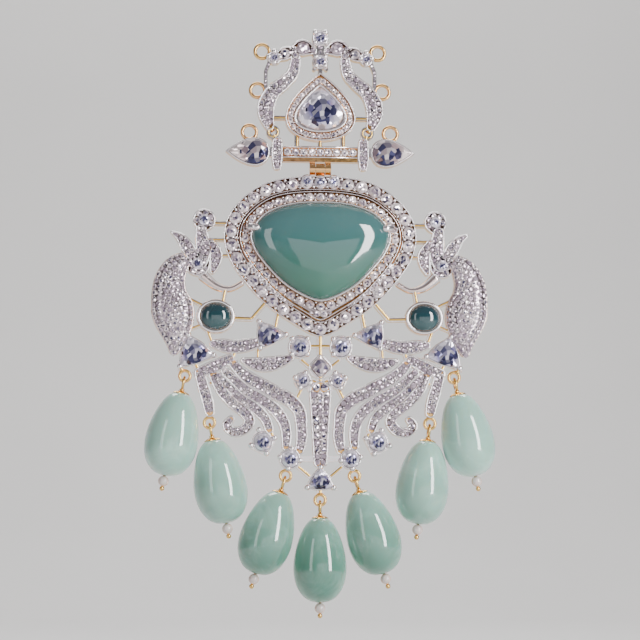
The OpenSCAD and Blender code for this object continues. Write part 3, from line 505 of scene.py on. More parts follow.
def front_map(points):
    """Map of a polished stone: across from left to right, and up from its lowest to its highest point."""
    flat = points[:, ::2]
    return (flat - flat.min(0)) / np.ptp(flat, axis=0)


def facet_map(points, template):
    """Map of cut stones: each lies in its own square, as seen from its front, one square after another."""
    flat = template[0][:, :2]
    flat = flat / (2.2 * np.linalg.norm(flat, axis=1).max()) + 0.5
    count = len(points) // len(flat)
    return np.tile(flat, (count, 1)) + np.repeat(np.arange(count), len(flat))[:, None] * (1, 0)


def piece(name, shape, material, body, smooth=True, replaces=(), cut=None, polished=False):
    """Puts a shape into a mesh, in metres, and hands it to its body and material slot."""
    points, faces = shape
    mesh = bpy.data.meshes.new(name)
    corners = np.concatenate([f.ravel() for f in faces]).astype(np.int32)
    counts = np.concatenate([np.full(len(f), f.shape[1]) for f in faces])
    mesh.vertices.add(len(points))
    mesh.vertices.foreach_set("co", (points * MM).ravel())
    mesh.loops.add(len(corners))
    mesh.loops.foreach_set("vertex_index", corners)
    mesh.polygons.add(len(counts))
    mesh.polygons.foreach_set("loop_start", (np.cumsum(counts) - counts).astype(np.int32))
    mesh.polygons.foreach_set("use_smooth", np.full(len(counts), smooth))
    if cut or polished:
        places = facet_map(points, cut) if cut else front_map(points)
        mesh.uv_layers.new(name="front").uv.foreach_set("vector", places[corners].astype(np.float32).ravel())
    mesh.update(calc_edges=True)
    if mesh.validate():
        raise RuntimeError(f"{name} has faces that Blender can't use")
    mesh.materials.append(bpy.data.materials[material])
    obj = bpy.data.objects.new(name, mesh)
    bpy.context.scene.collection.objects.link(obj)
    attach(obj, body)
    if replaces:
        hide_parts(*replaces)
    return obj


def pave_columns(rows, margin, stone_d):
    """Stones in columns across a leaf. Each column holds as many touching stones as come nearest to stone_d,
    and where that is four or more, every second column is shifted by half a stone. Returns the stones and
    the grains at their corners as length along the leaf, offset across it, and size."""
    curve = smooth_rows(rows, 10)
    runs = run_lengths(curve)
    total = runs[-1]
    first, last = (curve[k, 2] / 2 - margin for k in (0, -1))

    def half_at(s):
        """Half the width left for stones at a distance along the middle line, round at both ends."""
        if s < 0:
            return np.sqrt(max(first**2 - s**2, 0))
        if s > total:
            return np.sqrt(max(last**2 - (s - total) ** 2, 0))
        return np.interp(s, runs, curve[:, 2]) / 2 - margin

    stones, grains = [], []
    s = -first * 0.9
    shift = 0
    while s < total + last:
        half = half_at(s + stone_d / 2)
        count = max(1, int(round(2 * half / stone_d)))
        d = min(2 * half / count, 1.25 * stone_d)
        if d < 0.45 * stone_d:
            s += 0.2
            continue
        s += d / 2
        across = (np.arange(count - shift) - (count - shift - 1) / 2) * 2 * half / count
        stones += [(s, t, d * 0.98) for t in across]
        corners = np.concatenate([across - d / 2, across[-1:] + d / 2])
        grains += [(s + d / 2, t * 0.94, 0.17 * d) for t in corners]
        s += d / 2 if count < 4 else d * 0.37
        shift = 1 - shift if count >= 4 else 0
    return curve, np.array(stones).reshape(-1, 3), np.array(grains).reshape(-1, 3)


def on_leaf(curve, rows):
    """Lengths and offsets of a leaf turned into x and z; the leaf runs straight on past its ends."""
    runs = run_lengths(curve)
    s = rows[:, 0]
    flat = along(curve[:, :2], np.clip(s, 0, runs[-1]))
    h = headings(curve[:, :2])
    way = np.stack([np.interp(s, runs, h[:, 0]), np.interp(s, runs, h[:, 1])], 1)
    way /= np.linalg.norm(way, axis=1, keepdims=True)
    past = s - np.clip(s, 0, runs[-1])
    return flat + way * past[:, None] + left_of(way) * rows[:, 1:2]


def round_field(disc, margin, middle):
    """A ring of stones between the middle stone of a round field and its rail, grains at their corners."""
    x, z, radius = disc
    d = radius - margin - middle / 2
    ring = middle / 2 + d / 2
    count = int(2 * np.pi * ring / d)
    stones = np.column_stack([round_points(count, ring) + (x, z), np.full(count, d * 0.97)])
    grains = np.vstack([round_points(count, r, np.pi / count) for r in (ring - d * 0.42, ring + d * 0.42)])
    return stones, np.column_stack([grains + (x, z), np.full(len(grains), 0.15 * d)])


def thinned(stones, kept, share=0.9):
    """The stones that stand clear of those already kept, by this share of their two radii, or smaller ones
    where only they fit."""
    out = list(kept)
    for x, z, d in stones:
        near = np.array(out).reshape(-1, 3)
        room = (np.hypot(near[:, 0] - x, near[:, 1] - z) / share - near[:, 2] / 2).min(initial=d)
        if room > 0.25 * d:
            out.append((x, z, min(d, 2 * room)))
    return out


def outside(places, discs):
    """Which places lie outside all of some discs, each x, z and radius."""
    discs = np.asarray(discs, float)
    return (gaps(places, discs) > discs[None, :, 2]).all(1)


def fillers(line, wall, stones, least):
    """Stones that fill the room between a row and a wall: at each turn the largest that fits on the line."""
    line = along(line, np.linspace(0, run_lengths(line)[-1], 600))
    wall = along(wall, np.linspace(0, run_lengths(wall)[-1], 900))
    to_wall = gaps(line, wall).min(1)
    out = []
    while True:
        rows = np.vstack([stones, *out]) if out else stones
        room = np.minimum((gaps(line, rows) - rows[None, :, 2] / 2).min(1), to_wall)
        k = int(room.argmax())
        if room[k] < least / 2:
            return np.array(out).reshape(-1, 3)
        out.append([[line[k, 0], line[k, 1], 2 * room[k] * 0.96]])


def pave_fields(leaves, rounds, discs, stone_d):
    """The pave of one plate's right side, clear of the seats in discs: stones and grains as x, z, size."""
    stones, grains = [], []
    for rows in leaves:
        curve, s, g = pave_columns(rows, PAVE_MARGIN, stone_d)
        places = np.column_stack([on_leaf(curve, s), s[:, 2]])
        stones = thinned(places[outside(places, discs)], stones)
        if len(g):
            grains.append(np.column_stack([on_leaf(curve, g), g[:, 2]]))
    for disc in rounds:
        s, g = round_field(disc, PAVE_MARGIN, BUMP_D)
        stones = thinned(s[outside(s, discs)], stones)
        grains.append(g)
    if rounds:
        stones = thinned(HEAD_STONES, stones)
    stones = np.array(stones)
    grains = np.vstack(grains)
    grains = grains[outside(grains, discs)]
    clear = outside(grains, np.column_stack([stones[:, :2], stones[:, 2] * 0.42]))
    return stones, grains[clear]


def body_point(curve, s, turn):
    """A point of the peacock's round body: across it a half ellipse, a sin t and b cos t, with a the half
    width and b the rise, which falls off with the root of the width."""
    runs = run_lengths(curve)
    past = np.clip(s - runs[-1], 0, None)
    w = np.interp(s, runs, curve[:, 2])
    w = np.maximum(w - past**2 / curve[-1, 2] * 2.4, 0.3)
    rise = BODY_RISE * np.sqrt(w / max(row[2] for row in BODY_ROWS)) + BITE
    flat = on_leaf(curve, np.column_stack([s, w / 2 * BODY_SHARE * np.sin(turn)]))
    return fronts(flat, LEAF_TOP - BITE + rise * np.cos(turn))


def body_axes(curve, s, turn):
    """Axes of a stone on the body: along it, across it and straight out of it."""
    a = body_point(curve, s + 0.05, turn) - body_point(curve, s - 0.05, turn)
    b = body_point(curve, s, turn + 0.02) - body_point(curve, s, turn - 0.02)
    out = np.cross(a, b)
    out /= np.linalg.norm(out, axis=1, keepdims=True)
    out *= np.where(out[:, 1:2] < 0, 1, -1)
    a /= np.linalg.norm(a, axis=1, keepdims=True)
    return np.stack([a, np.cross(out, a), out], 1)


def body_pave(curve, d):
    """Rows of stones across the body, of even and odd counts by turns, and the grains between."""
    total = run_lengths(curve)[-1]
    turn = np.radians(np.linspace(-76, 76, 61))
    stones, grains = [], []
    for k, s in enumerate(np.linspace(0.4 * d, total + 0.75, int(round(total / (0.9 * d))) + 1)):
        steps = np.diff(body_point(curve, np.full(61, s), turn), axis=0)
        arc = np.concatenate([[0], np.cumsum(np.linalg.norm(steps, axis=1))])
        odd = k % 2
        count = max(1, 2 * int(round((arc[-1] / d - odd) / 2)) + odd)
        step = arc[-1] / count
        marks = arc[-1] / 2 + (np.arange(count) - (count - 1) / 2) * step
        places = np.interp(marks, arc, turn)
        stones += [(s, t, min(step, 1.2 * d) * 0.98) for t in places]
        grains += [(s + 0.6 * d, t, 0.13 * d) for t in places]
    return np.array(stones), np.array(grains)


def leaf_edge(rows, inwards):
    """The closed line round a leaf, a set distance inside its edge, with round ends."""
    curve = smooth_rows(rows, 8)
    h = headings(curve[:, :2])
    side = left_of(h)
    half = np.maximum(curve[:, 2:] / 2 - inwards, 0.05)
    right, left = curve[:, :2] - side * half, curve[:, :2] + side * half

    def cap(middle, way, across, r):
        """Five points round an end: middle + r (cos a across + sin a way)."""
        a = np.linspace(0, np.pi, 7)[1:-1]
        return middle + r * (np.cos(a)[:, None] * across + np.sin(a)[:, None] * way)

    return np.vstack([
        right, cap(curve[-1, :2], h[-1], -side[-1], half[-1]),
        left[::-1], cap(curve[0, :2], -h[0], side[0], half[0]),
    ])


def clear_of(points, leaves, edge=0.28):
    """Which points lie outside the fields of some leaves, or at most a set distance inside their edge."""
    free = np.ones(len(points), bool)
    for rows in leaves:
        curve = smooth_rows(rows, 8)
        free &= (gaps(points, curve) > curve[None, :, 2] / 2 - edge).all(1)
    return free


def free_runs(points, free):
    """The unbroken runs of five or more free points."""
    cuts = np.flatnonzero(np.diff(free.astype(int))) + 1
    return [run for run, ok in zip(np.split(points, cuts), np.split(free, cuts)) if ok[0] and len(run) > 4]


def broken_rails(rows, others):
    """The edge line of a leaf, cut where it would cross the field of another leaf."""
    line = leaf_edge(rows, RAIL_INSET)
    line = np.vstack([line, line[:1]])
    total = run_lengths(line)[-1]
    dense = along(line, np.linspace(0, total, max(24, int(total / 0.35))))
    return free_runs(dense, clear_of(dense, others))


def group(name, inputs, outputs):
    """A shader node group with its sockets; each input is a name, kind and default."""
    g = bpy.data.node_groups.new(name, "ShaderNodeTree")
    for socket, kind, default in inputs:
        g.interface.new_socket(socket, in_out="INPUT", socket_type=kind).default_value = default
    for socket, kind in outputs:
        g.interface.new_socket(socket, in_out="OUTPUT", socket_type=kind)
    return g, g.nodes.new("NodeGroupInput"), g.nodes.new("NodeGroupOutput")


def node(tree, kind, **values):
    """A node with its properties and input defaults set by name."""
    n = tree.nodes.new(kind)
    for key, value in values.items():
        if hasattr(n, key):
            setattr(n, key, value)
        else:
            n.inputs[key.replace("_", " ")].default_value = value
    return n


def maths(tree, operation, a, b=0.0):
    """One step of arithmetic, on sockets or plain numbers."""
    m = node(tree, "ShaderNodeMath", operation=operation)
    for socket, value in zip(m.inputs, (a, b)):
        if isinstance(value, bpy.types.NodeSocket):
            tree.links.new(value, socket)
        else:
            socket.default_value = value
    return m.outputs[0]


def mix(tree, factor, a, b):
    """A colour mix with its three sockets joined or set."""
    m = node(tree, "ShaderNodeMix", data_type="RGBA")
    for socket, value in ((m.inputs[0], factor), (m.inputs[6], a), (m.inputs[7], b)):
        if isinstance(value, bpy.types.NodeSocket):
            tree.links.new(value, socket)
        else:
            socket.default_value = value
    return m.outputs[2]


def ramp(tree, source, low, high, out_low=0.0, out_high=1.0):
    """A smooth step of a value between low and high."""
    m = node(tree, "ShaderNodeMapRange", interpolation_type="SMOOTHSTEP")
    tree.links.new(source, m.inputs[0])
    for k, value in enumerate((low, high, out_low, out_high), 1):
        m.inputs[k].default_value = value
    return m.outputs[0]


def split_of(tree, output):
    """The three parts of a texture coordinate: Object, Normal or UV."""
    split = node(tree, "ShaderNodeSeparateXYZ")
    tree.links.new(node(tree, "ShaderNodeTexCoord").outputs[output], split.inputs[0])
    return split.outputs


def noise(tree, scale, detail=2.0):
    """Noise on Object coordinates."""
    n = node(tree, "ShaderNodeTexNoise", Scale=scale, Detail=detail)
    tree.links.new(node(tree, "ShaderNodeTexCoord").outputs["Object"], n.inputs["Vector"])
    return n.outputs["Fac"]


def plating_group():
    """White plating on what faces forwards and stands high, gold on sides, backs, low faces and the hinge,
    with fine polish marks."""
    g, gin, gout = group(
        "plating",
        [("White", "NodeSocketColor", (0.9, 0.9, 0.9, 1)), ("Gold", "NodeSocketColor", (0.9, 0.6, 0.3, 1)),
         ("Rose", "NodeSocketColor", (0.9, 0.6, 0.5, 1)), ("Turn", "NodeSocketFloat", 0.45),
         ("Low", "NodeSocketFloat", 0.0006)],
        [("Color", "NodeSocketColor"), ("Roughness", "NodeSocketFloat"), ("Height", "NodeSocketFloat")])
    place = split_of(g, "Object")
    forward = maths(g, "MULTIPLY", split_of(g, "Normal")["Y"], -1.0)
    front = ramp(g, maths(g, "SUBTRACT", forward, gin.outputs["Turn"]), -0.2, 0.25)
    height = maths(g, "MULTIPLY", place["Y"], -1.0)
    high = ramp(g, maths(g, "SUBTRACT", height, gin.outputs["Low"]), -0.0001, 0.0002)
    beside = maths(g, "GREATER_THAN", maths(g, "ABSOLUTE", place["X"]), HINGE_HALF * MM)
    above = maths(g, "GREATER_THAN", place["Z"], HINGE_TOP * MM)
    under = maths(g, "LESS_THAN", place["Z"], HINGE_BOTTOM * MM)
    clear = maths(g, "MAXIMUM", beside, maths(g, "MAXIMUM", above, under))
    white = maths(g, "MULTIPLY", maths(g, "MULTIPLY", front, high), clear)
    patches = ramp(g, noise(g, 45.0, 5.0), 0.3, 0.7, 0.15, 0.7)
    warm = mix(g, patches, gin.outputs["Gold"], gin.outputs["Rose"])
    g.links.new(mix(g, white, warm, gin.outputs["White"]), gout.inputs["Color"])
    g.links.new(ramp(g, noise(g, 900.0, 4.0), 0.3, 0.75, 0.1, 0.24), gout.inputs["Roughness"])
    g.links.new(noise(g, 2600.0, 3.0), gout.inputs["Height"])
    return g


def sparkle_group():
    """Facets of a cut stone, laid out on its own map. Each facet leans its own way, and its colour is a
    painted
    reflection: clear, tinted or dark, with a painted dark reflection towards the middle; no two stones have
    the same facets, and some whole stones are painted darker than others."""
    g, gin, gout = group(
        "sparkle",
        [("Clear", "NodeSocketColor", (0.9, 0.9, 0.95, 1)), ("Tint", "NodeSocketColor", (0.6, 0.6, 0.8, 1)),
         ("Deep", "NodeSocketColor", (0.1, 0.1, 0.2, 1)), ("Cells", "NodeSocketFloat", 6.0),
         ("Share", "NodeSocketFloat", 0.35), ("Core", "NodeSocketFloat", 0.3),
         ("Shade", "NodeSocketFloat", 0.3), ("Tilt", "NodeSocketFloat", 0.6)],
        [("Color", "NodeSocketColor"), ("Normal", "NodeSocketVector")])
    place = split_of(g, "UV")
    number = maths(g, "FLOOR", place["X"])
    across = maths(g, "SUBTRACT", maths(g, "FRACT", place["X"]), 0.5)
    up = maths(g, "SUBTRACT", place["Y"], 0.5)
    squares = (maths(g, "MULTIPLY", side, side) for side in (across, up))
    out = maths(g, "SQRT", maths(g, "ADD", *squares))
    at = node(g, "ShaderNodeCombineXYZ")
    for socket, value in zip(at.inputs, (across, up, maths(g, "MULTIPLY", number, 0.377))):
        g.links.new(value, socket)
    cells = node(g, "ShaderNodeTexVoronoi")
    g.links.new(at.outputs[0], cells.inputs["Vector"])
    g.links.new(gin.outputs["Cells"], cells.inputs["Scale"])
    parts = node(g, "ShaderNodeSeparateColor")
    g.links.new(cells.outputs["Color"], parts.inputs[0])
    # Painted dark reflection: dark facets grow more likely towards each stone's middle
    inner = ramp(g, out, 0.4, 0.12)
    core = maths(g, "MULTIPLY", maths(g, "SUBTRACT", inner, 0.35), gin.outputs["Core"])
    dark = maths(g, "LESS_THAN", parts.outputs[0], maths(g, "ADD", gin.outputs["Share"], core))
    depth = maths(g, "MULTIPLY", dark, ramp(g, parts.outputs[1], 0.0, 0.7, 0.4, 1.0))
    tinted = maths(g, "MULTIPLY", ramp(g, parts.outputs[2], 0.3, 0.9), maths(g, "ADD", inner, 0.25))
    pale = mix(g, tinted, gin.outputs["Clear"], gin.outputs["Tint"])
    faceted = mix(g, depth, pale, gin.outputs["Deep"])
    # Painted dark reflection: a random share of whole stones is drawn towards the tinted colour
    chance = node(g, "ShaderNodeTexWhiteNoise", noise_dimensions="1D")
    g.links.new(number, chance.inputs["W"])
    shade = maths(g, "MULTIPLY", ramp(g, chance.outputs["Value"], 0.75, 0.25), gin.outputs["Shade"])
    g.links.new(mix(g, shade, faceted, gin.outputs["Tint"]), gout.inputs["Color"])
    lean = node(g, "ShaderNodeVectorMath", operation="SUBTRACT")
    g.links.new(cells.outputs["Color"], lean.inputs[0])
    lean.inputs[1].default_value = (0.5, 0.5, 0.5)
    leant = node(g, "ShaderNodeVectorMath", operation="SCALE")
    g.links.new(lean.outputs[0], leant.inputs[0])
    g.links.new(gin.outputs["Tilt"], leant.inputs["Scale"])
    turned = node(g, "ShaderNodeVectorMath", operation="ADD")
    g.links.new(node(g, "ShaderNodeNewGeometry").outputs["Normal"], turned.inputs[0])
    g.links.new(leant.outputs[0], turned.inputs[1])
    whole = node(g, "ShaderNodeVectorMath", operation="NORMALIZE")
    g.links.new(turned.outputs[0], whole.inputs[0])
    g.links.new(whole.outputs[0], gout.inputs["Normal"])
    return g


def milky_group():
    """Clouds of a polished translucent stone, with one colour above, one below and one where it turns away,
    which on the drops is a brighter, greener painted edge glow, and paler where it hangs higher, with the
    pale tone paler still at the edges as painted glow."""
    g, gin, gout = group(
        "milky",
        [("Body", "NodeSocketColor", (0.5, 0.7, 0.6, 1)), ("Below", "NodeSocketColor", (0.7, 0.8, 0.75, 1)),
         ("Side", "NodeSocketColor", (0.3, 0.6, 0.4, 1)), ("Size", "NodeSocketFloat", 120.0),
         ("Cloud", "NodeSocketFloat", 0.15), ("Veil", "NodeSocketFloat", 0.1),
         ("Lift", "NodeSocketFloat", 0.0)],
        [("Color", "NodeSocketColor"), ("Roughness", "NodeSocketFloat"), ("Height", "NodeSocketFloat")])
    cloud = node(g, "ShaderNodeTexNoise", Detail=4.0, Roughness=0.6, Distortion=0.8)
    g.links.new(node(g, "ShaderNodeTexCoord").outputs["Object"], cloud.inputs["Vector"])
    g.links.new(gin.outputs["Size"], cloud.inputs["Scale"])
    wander = maths(g, "MULTIPLY", maths(g, "SUBTRACT", cloud.outputs["Fac"], 0.5), gin.outputs["Cloud"])
    low = ramp(g, maths(g, "ADD", split_of(g, "UV")["Y"], wander), 0.75, 0.1, 0.0, 1.0)
    facing = maths(g, "ABSOLUTE", split_of(g, "Normal")["Y"])
    side = ramp(g, facing, 0.1, 0.8, 0.8, 0.0)
    body = mix(g, low, gin.outputs["Body"], gin.outputs["Below"])
    lifted = maths(g, "MULTIPLY", ramp(g, split_of(g, "Object")["Z"], -0.113, -0.08), gin.outputs["Lift"])
    veil = maths(g, "MULTIPLY", ramp(g, cloud.outputs["Fac"], 0.45, 0.72), gin.outputs["Veil"])
    # Painted edge glow: where the surface turns away it takes the Side colour, a brighter painted glow on
    # the drops, and the pale tone is paler there too
    toned = mix(g, side, body, gin.outputs["Side"])
    paler = mix(g, side, (0.40, 0.64, 0.55, 1), (0.70, 0.90, 0.86, 1))
    g.links.new(mix(g, maths(g, "ADD", lifted, veil), toned, paler), gout.inputs["Color"])
    g.links.new(ramp(g, cloud.outputs["Fac"], 0.3, 0.8, 0.05, 0.12), gout.inputs["Roughness"])
    g.links.new(noise(g, 500.0, 2.0), gout.inputs["Height"])
    return g


def new_material(name, **values):
    """A material with a Principled shader whose plain sockets are set by name."""
    m = bpy.data.materials.new(name)
    m.use_nodes = True
    shader = m.node_tree.nodes["Principled BSDF"]
    for key, value in values.items():
        shader.inputs[key.replace("_", " ")].default_value = value
    return m.node_tree, shader


def use_group(tree, shader, name, bump=0.0, distance=0.00002, **values):
    """A group placed in a material, its colour, roughness and height joined to the shader."""
    g = node(tree, "ShaderNodeGroup")
    g.node_tree = bpy.data.node_groups[name]
    for key, value in values.items():
        g.inputs[key].default_value = value
    tree.links.new(g.outputs["Color"], shader.inputs["Base Color"])
    for output in ("Roughness", "Normal"):
        if output in g.outputs:
            tree.links.new(g.outputs[output], shader.inputs[output])
    if bump:
        b = node(tree, "ShaderNodeBump", Strength=bump, Distance=distance)
        tree.links.new(g.outputs["Height"], b.inputs["Height"])
        tree.links.new(b.outputs["Normal"], shader.inputs["Normal"])


def size(name, description, default):
    """A size property, in metres."""
    return bpy.props.FloatProperty(
        name=name, description=description, default=default, min=0.0001, max=0.01, unit="LENGTH",
        precision=5)


def colour(name, description, *default):
    """A colour property."""
    return bpy.props.FloatVectorProperty(
        name=name, description=description, default=(*default, 1), subtype="COLOR", size=4, min=0.0, max=1.0)


class PendantSizes(bpy.types.PropertyGroup):
    """Sizes of the finest stones, grains and wires"""

    leaf_stone: size("Leaf stone", "Diameter of the pave stones in the leaves and plumes", 0.0011)
    body_stone: size("Body stone", "Diameter of the pave stones on the peacocks' bodies", 0.00118)
    rail: size("Rail radius", "Radius of the polished rail round each leaf", 0.00019)
    claw: size("Claw radius", "Radius of the claw tips over the single stones", 0.00064)
    halo_claw: size("Halo claw radius", "Radius of the claws between the halo stones", 0.00036)
    wrap: size("Wrap wire", "Radius of the wire wrapped under each drop's loop", 0.00014)


class PendantColours(bpy.types.PropertyGroup):
    """Colours of the metals and stones"""

    white: colour("White plating", "Metal that faces forwards", 0.88, 0.83, 0.85)
    # Side shade: a darker copy of the white plating, painted shade on the sides of rails, claws and grains
    side_shade: colour("Dull plating", "Sides of the rails, claws and grains", 0.66, 0.60, 0.64)
    gold: colour("Gold", "Metal that faces sideways and back", 0.82, 0.54, 0.18)
    rose: colour("Rose gold", "Warmer patches of the gold", 0.80, 0.42, 0.25)
    blush: colour("Blush", "Front of the beaks", 0.84, 0.70, 0.68)
    # The next two colours are painted shade: the dark in the gaps between pave stones, and a lighter shade
    # between the halo stones, round the pear stone and under the bodies' stones
    bed_shade: colour("Pave bed", "Metal between the pave stones", 0.24, 0.20, 0.22)
    halo_bed_shade: colour("Halo bed", "Metal between the halo stones", 0.46, 0.40, 0.42)
    # Facet colours of the cut stones: which facets are pale, tinted or dark paints the reflections of a cut
    # stone; the pale and tinted hues also carry the stones' own tone. The dark facet colour is also painted
    # shade on the sides of the dark pave plates.
    clear: colour("Clear stone", "Pale facets", 0.97, 0.87, 0.87)
    tint: colour("Tinted facet", "Lavender facets", 0.42, 0.33, 0.41)
    deep: colour("Deep facet", "Dark facets of the clear stones", 0.03, 0.03, 0.09)
    blush_stone: colour("Blush stone", "Pale facets of the bar's end stones", 0.97, 0.86, 0.85)
    blush_tint: colour("Blush facet", "Tinted facets of the bar's end stones", 0.50, 0.36, 0.38)
    lavender: colour("Lavender stone", "Pale facets of the single stones", 0.90, 0.85, 0.94)
    lavender_tint: colour("Lavender facet", "Tinted facets of the single stones", 0.22, 0.20, 0.42)
    centre: colour("Centre stone", "Upper part of the centre stone", 0.048, 0.13, 0.132)
    centre_low: colour("Centre stone, low", "Lower part of the centre stone", 0.026, 0.125, 0.088)
    drop: colour("Drop", "Upper part of the drops", 0.055, 0.18, 0.125)
    drop_low: colour("Drop, low", "Lower part of the drops", 0.07, 0.205, 0.15)
    # Painted edge glow: the drops brighter and greener where they turn away
    drop_edge_glow: colour("Drop side", "Drops where they turn away", 0.12, 0.34, 0.23)
    pearl: colour("End bead", "Small beads under the drops", 0.62, 0.55, 0.53)
    oval: colour("Oval stone", "The two dark teal ovals", 0.006, 0.03, 0.04)
    oval_low: colour("Oval stone, low", "Lower part of the ovals", 0.012, 0.055, 0.062)
    floor: colour("Floor", "Floor and backdrop", 0.72, 0.71, 0.70)


class PENDANT_OT_materials(bpy.types.Operator):
    """Build the shared node groups and every material"""

    bl_idname = "pendant.materials"
    bl_label = "Materials"

    def execute(self, context):
        c = context.scene.pendant_colours
        plating_group()
        sparkle_group()
        milky_group()
        for name, white, gold, rose, turn, low in (
            ("plated_metal", c.white, c.gold, c.rose, 0.45, 0.0006),
            ("gold_metal", c.gold, c.gold, c.rose, 0.45, 0.0),
            ("blush_metal", c.blush, c.rose, c.gold, 0.55, 0.0),
            # Rails, claws and grains: white on the front, painted shade on the sides
            ("white_grains", c.white, c.side_shade, c.clear, 0.1, -0.01),
            # Painted shade: the dark plates between the pave stones, darker still on their sides, and the
            # lighter plates of the halos and bodies, with the pave's dark on their sides
            ("bed_shade_metal", c.bed_shade, c.deep, c.tint, 0.1, -0.01),
            ("halo_bed_shade", c.halo_bed_shade, c.bed_shade, c.tint, 0.1, -0.01),
        ):
            tree, shader = new_material(name, Metallic=1.0)
            use_group(tree, shader, "plating", bump=0.15, White=white, Gold=gold, Rose=rose, Turn=turn,
                      Low=low)
        for name, clear, tint, cells, share, core, shade, tilt in (
            ("bright_facets", c.clear, c.tint, 5.0, 0.4, 0.6, 0.75, 0.8),
            ("halo_facets", c.clear, c.tint, 6.0, 0.2, 0.5, 0.25, 0.7),
            ("blush_facets", c.blush_stone, c.blush_tint, 10.0, 0.26, 1.1, 0.0, 0.9),
            ("deep_facets", c.lavender, c.lavender_tint, 9.0, 0.4, 1.1, 0.0, 0.9),
        ):
            tree, shader = new_material(
                name, Metallic=0.55, Roughness=0.05, IOR=1.5, Coat_Weight=0.15, Coat_Roughness=0.02)
            use_group(tree, shader, "sparkle", Clear=clear, Tint=tint, Deep=c.deep, Cells=cells, Share=share,
                      Core=core, Shade=shade, Tilt=tilt)
        for name, body, low, side, scale, cloud, veil, lift, glow in (
            ("centre_stone", c.centre, c.centre_low, c.centre_low, 60.0, 0.25, 0.03, 0.0, 0.1),
            ("drop_stone", c.drop, c.drop_low, c.drop_edge_glow, 130.0, 0.6, 0.2, 0.7, 0.25),
            ("oval_stone", c.oval, c.oval_low, c.oval, 260.0, 0.5, 0.06, 0.0, 0.0),
            ("end_bead", c.pearl, c.pearl, c.rose, 400.0, 0.2, 0.1, 0.0, 0.1),
        ):
            tree, shader = new_material(
                name, Coat_Weight=0.6, Coat_Roughness=0.02, Subsurface_Weight=glow,
                Subsurface_Scale=0.002, IOR=1.6)
            use_group(tree, shader, "milky", bump=0.05, Body=body, Below=low, Side=side, Size=scale,
                      Cloud=cloud, Veil=veil, Lift=lift)
        tree, shader = new_material("floor", Roughness=0.9)
        patches = ramp(tree, noise(tree, 9.0, 4.0), 0.3, 0.7)
        tone = mix(tree, patches, c.floor, [k * 0.97 for k in c.floor])
        tree.links.new(tone, shader.inputs["Base Color"])
        return {"FINISHED"}


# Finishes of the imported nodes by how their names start; the other nodes are cut stones
NODE_FINISHES = (
    ("upper_frame", "plated_metal"), ("peacock_frame", "plated_metal"), ("hinge_pin", "gold_metal"),
    ("drop_wire", "gold_metal"), ("drop_bead", "drop_stone"), ("drop_end", "end_bead"),
    ("oval", "oval_stone"), ("centre", "centre_stone"),
)


class PENDANT_OT_metal(bpy.types.Operator):
    """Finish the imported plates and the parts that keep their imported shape"""

    bl_idname = "pendant.metal"
    bl_label = "Metal"

    def execute(self, context):
        for name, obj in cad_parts.items():
            fitting = (finish for start, finish in NODE_FINISHES if name.startswith(start))
            finish = next(fitting, "bright_facets")
            if not obj.material_slots:
                raise RuntimeError(f"{name} has no material slot")
            for slot in obj.material_slots:
                slot.material = bpy.data.materials[finish]
        return {"FINISHED"}


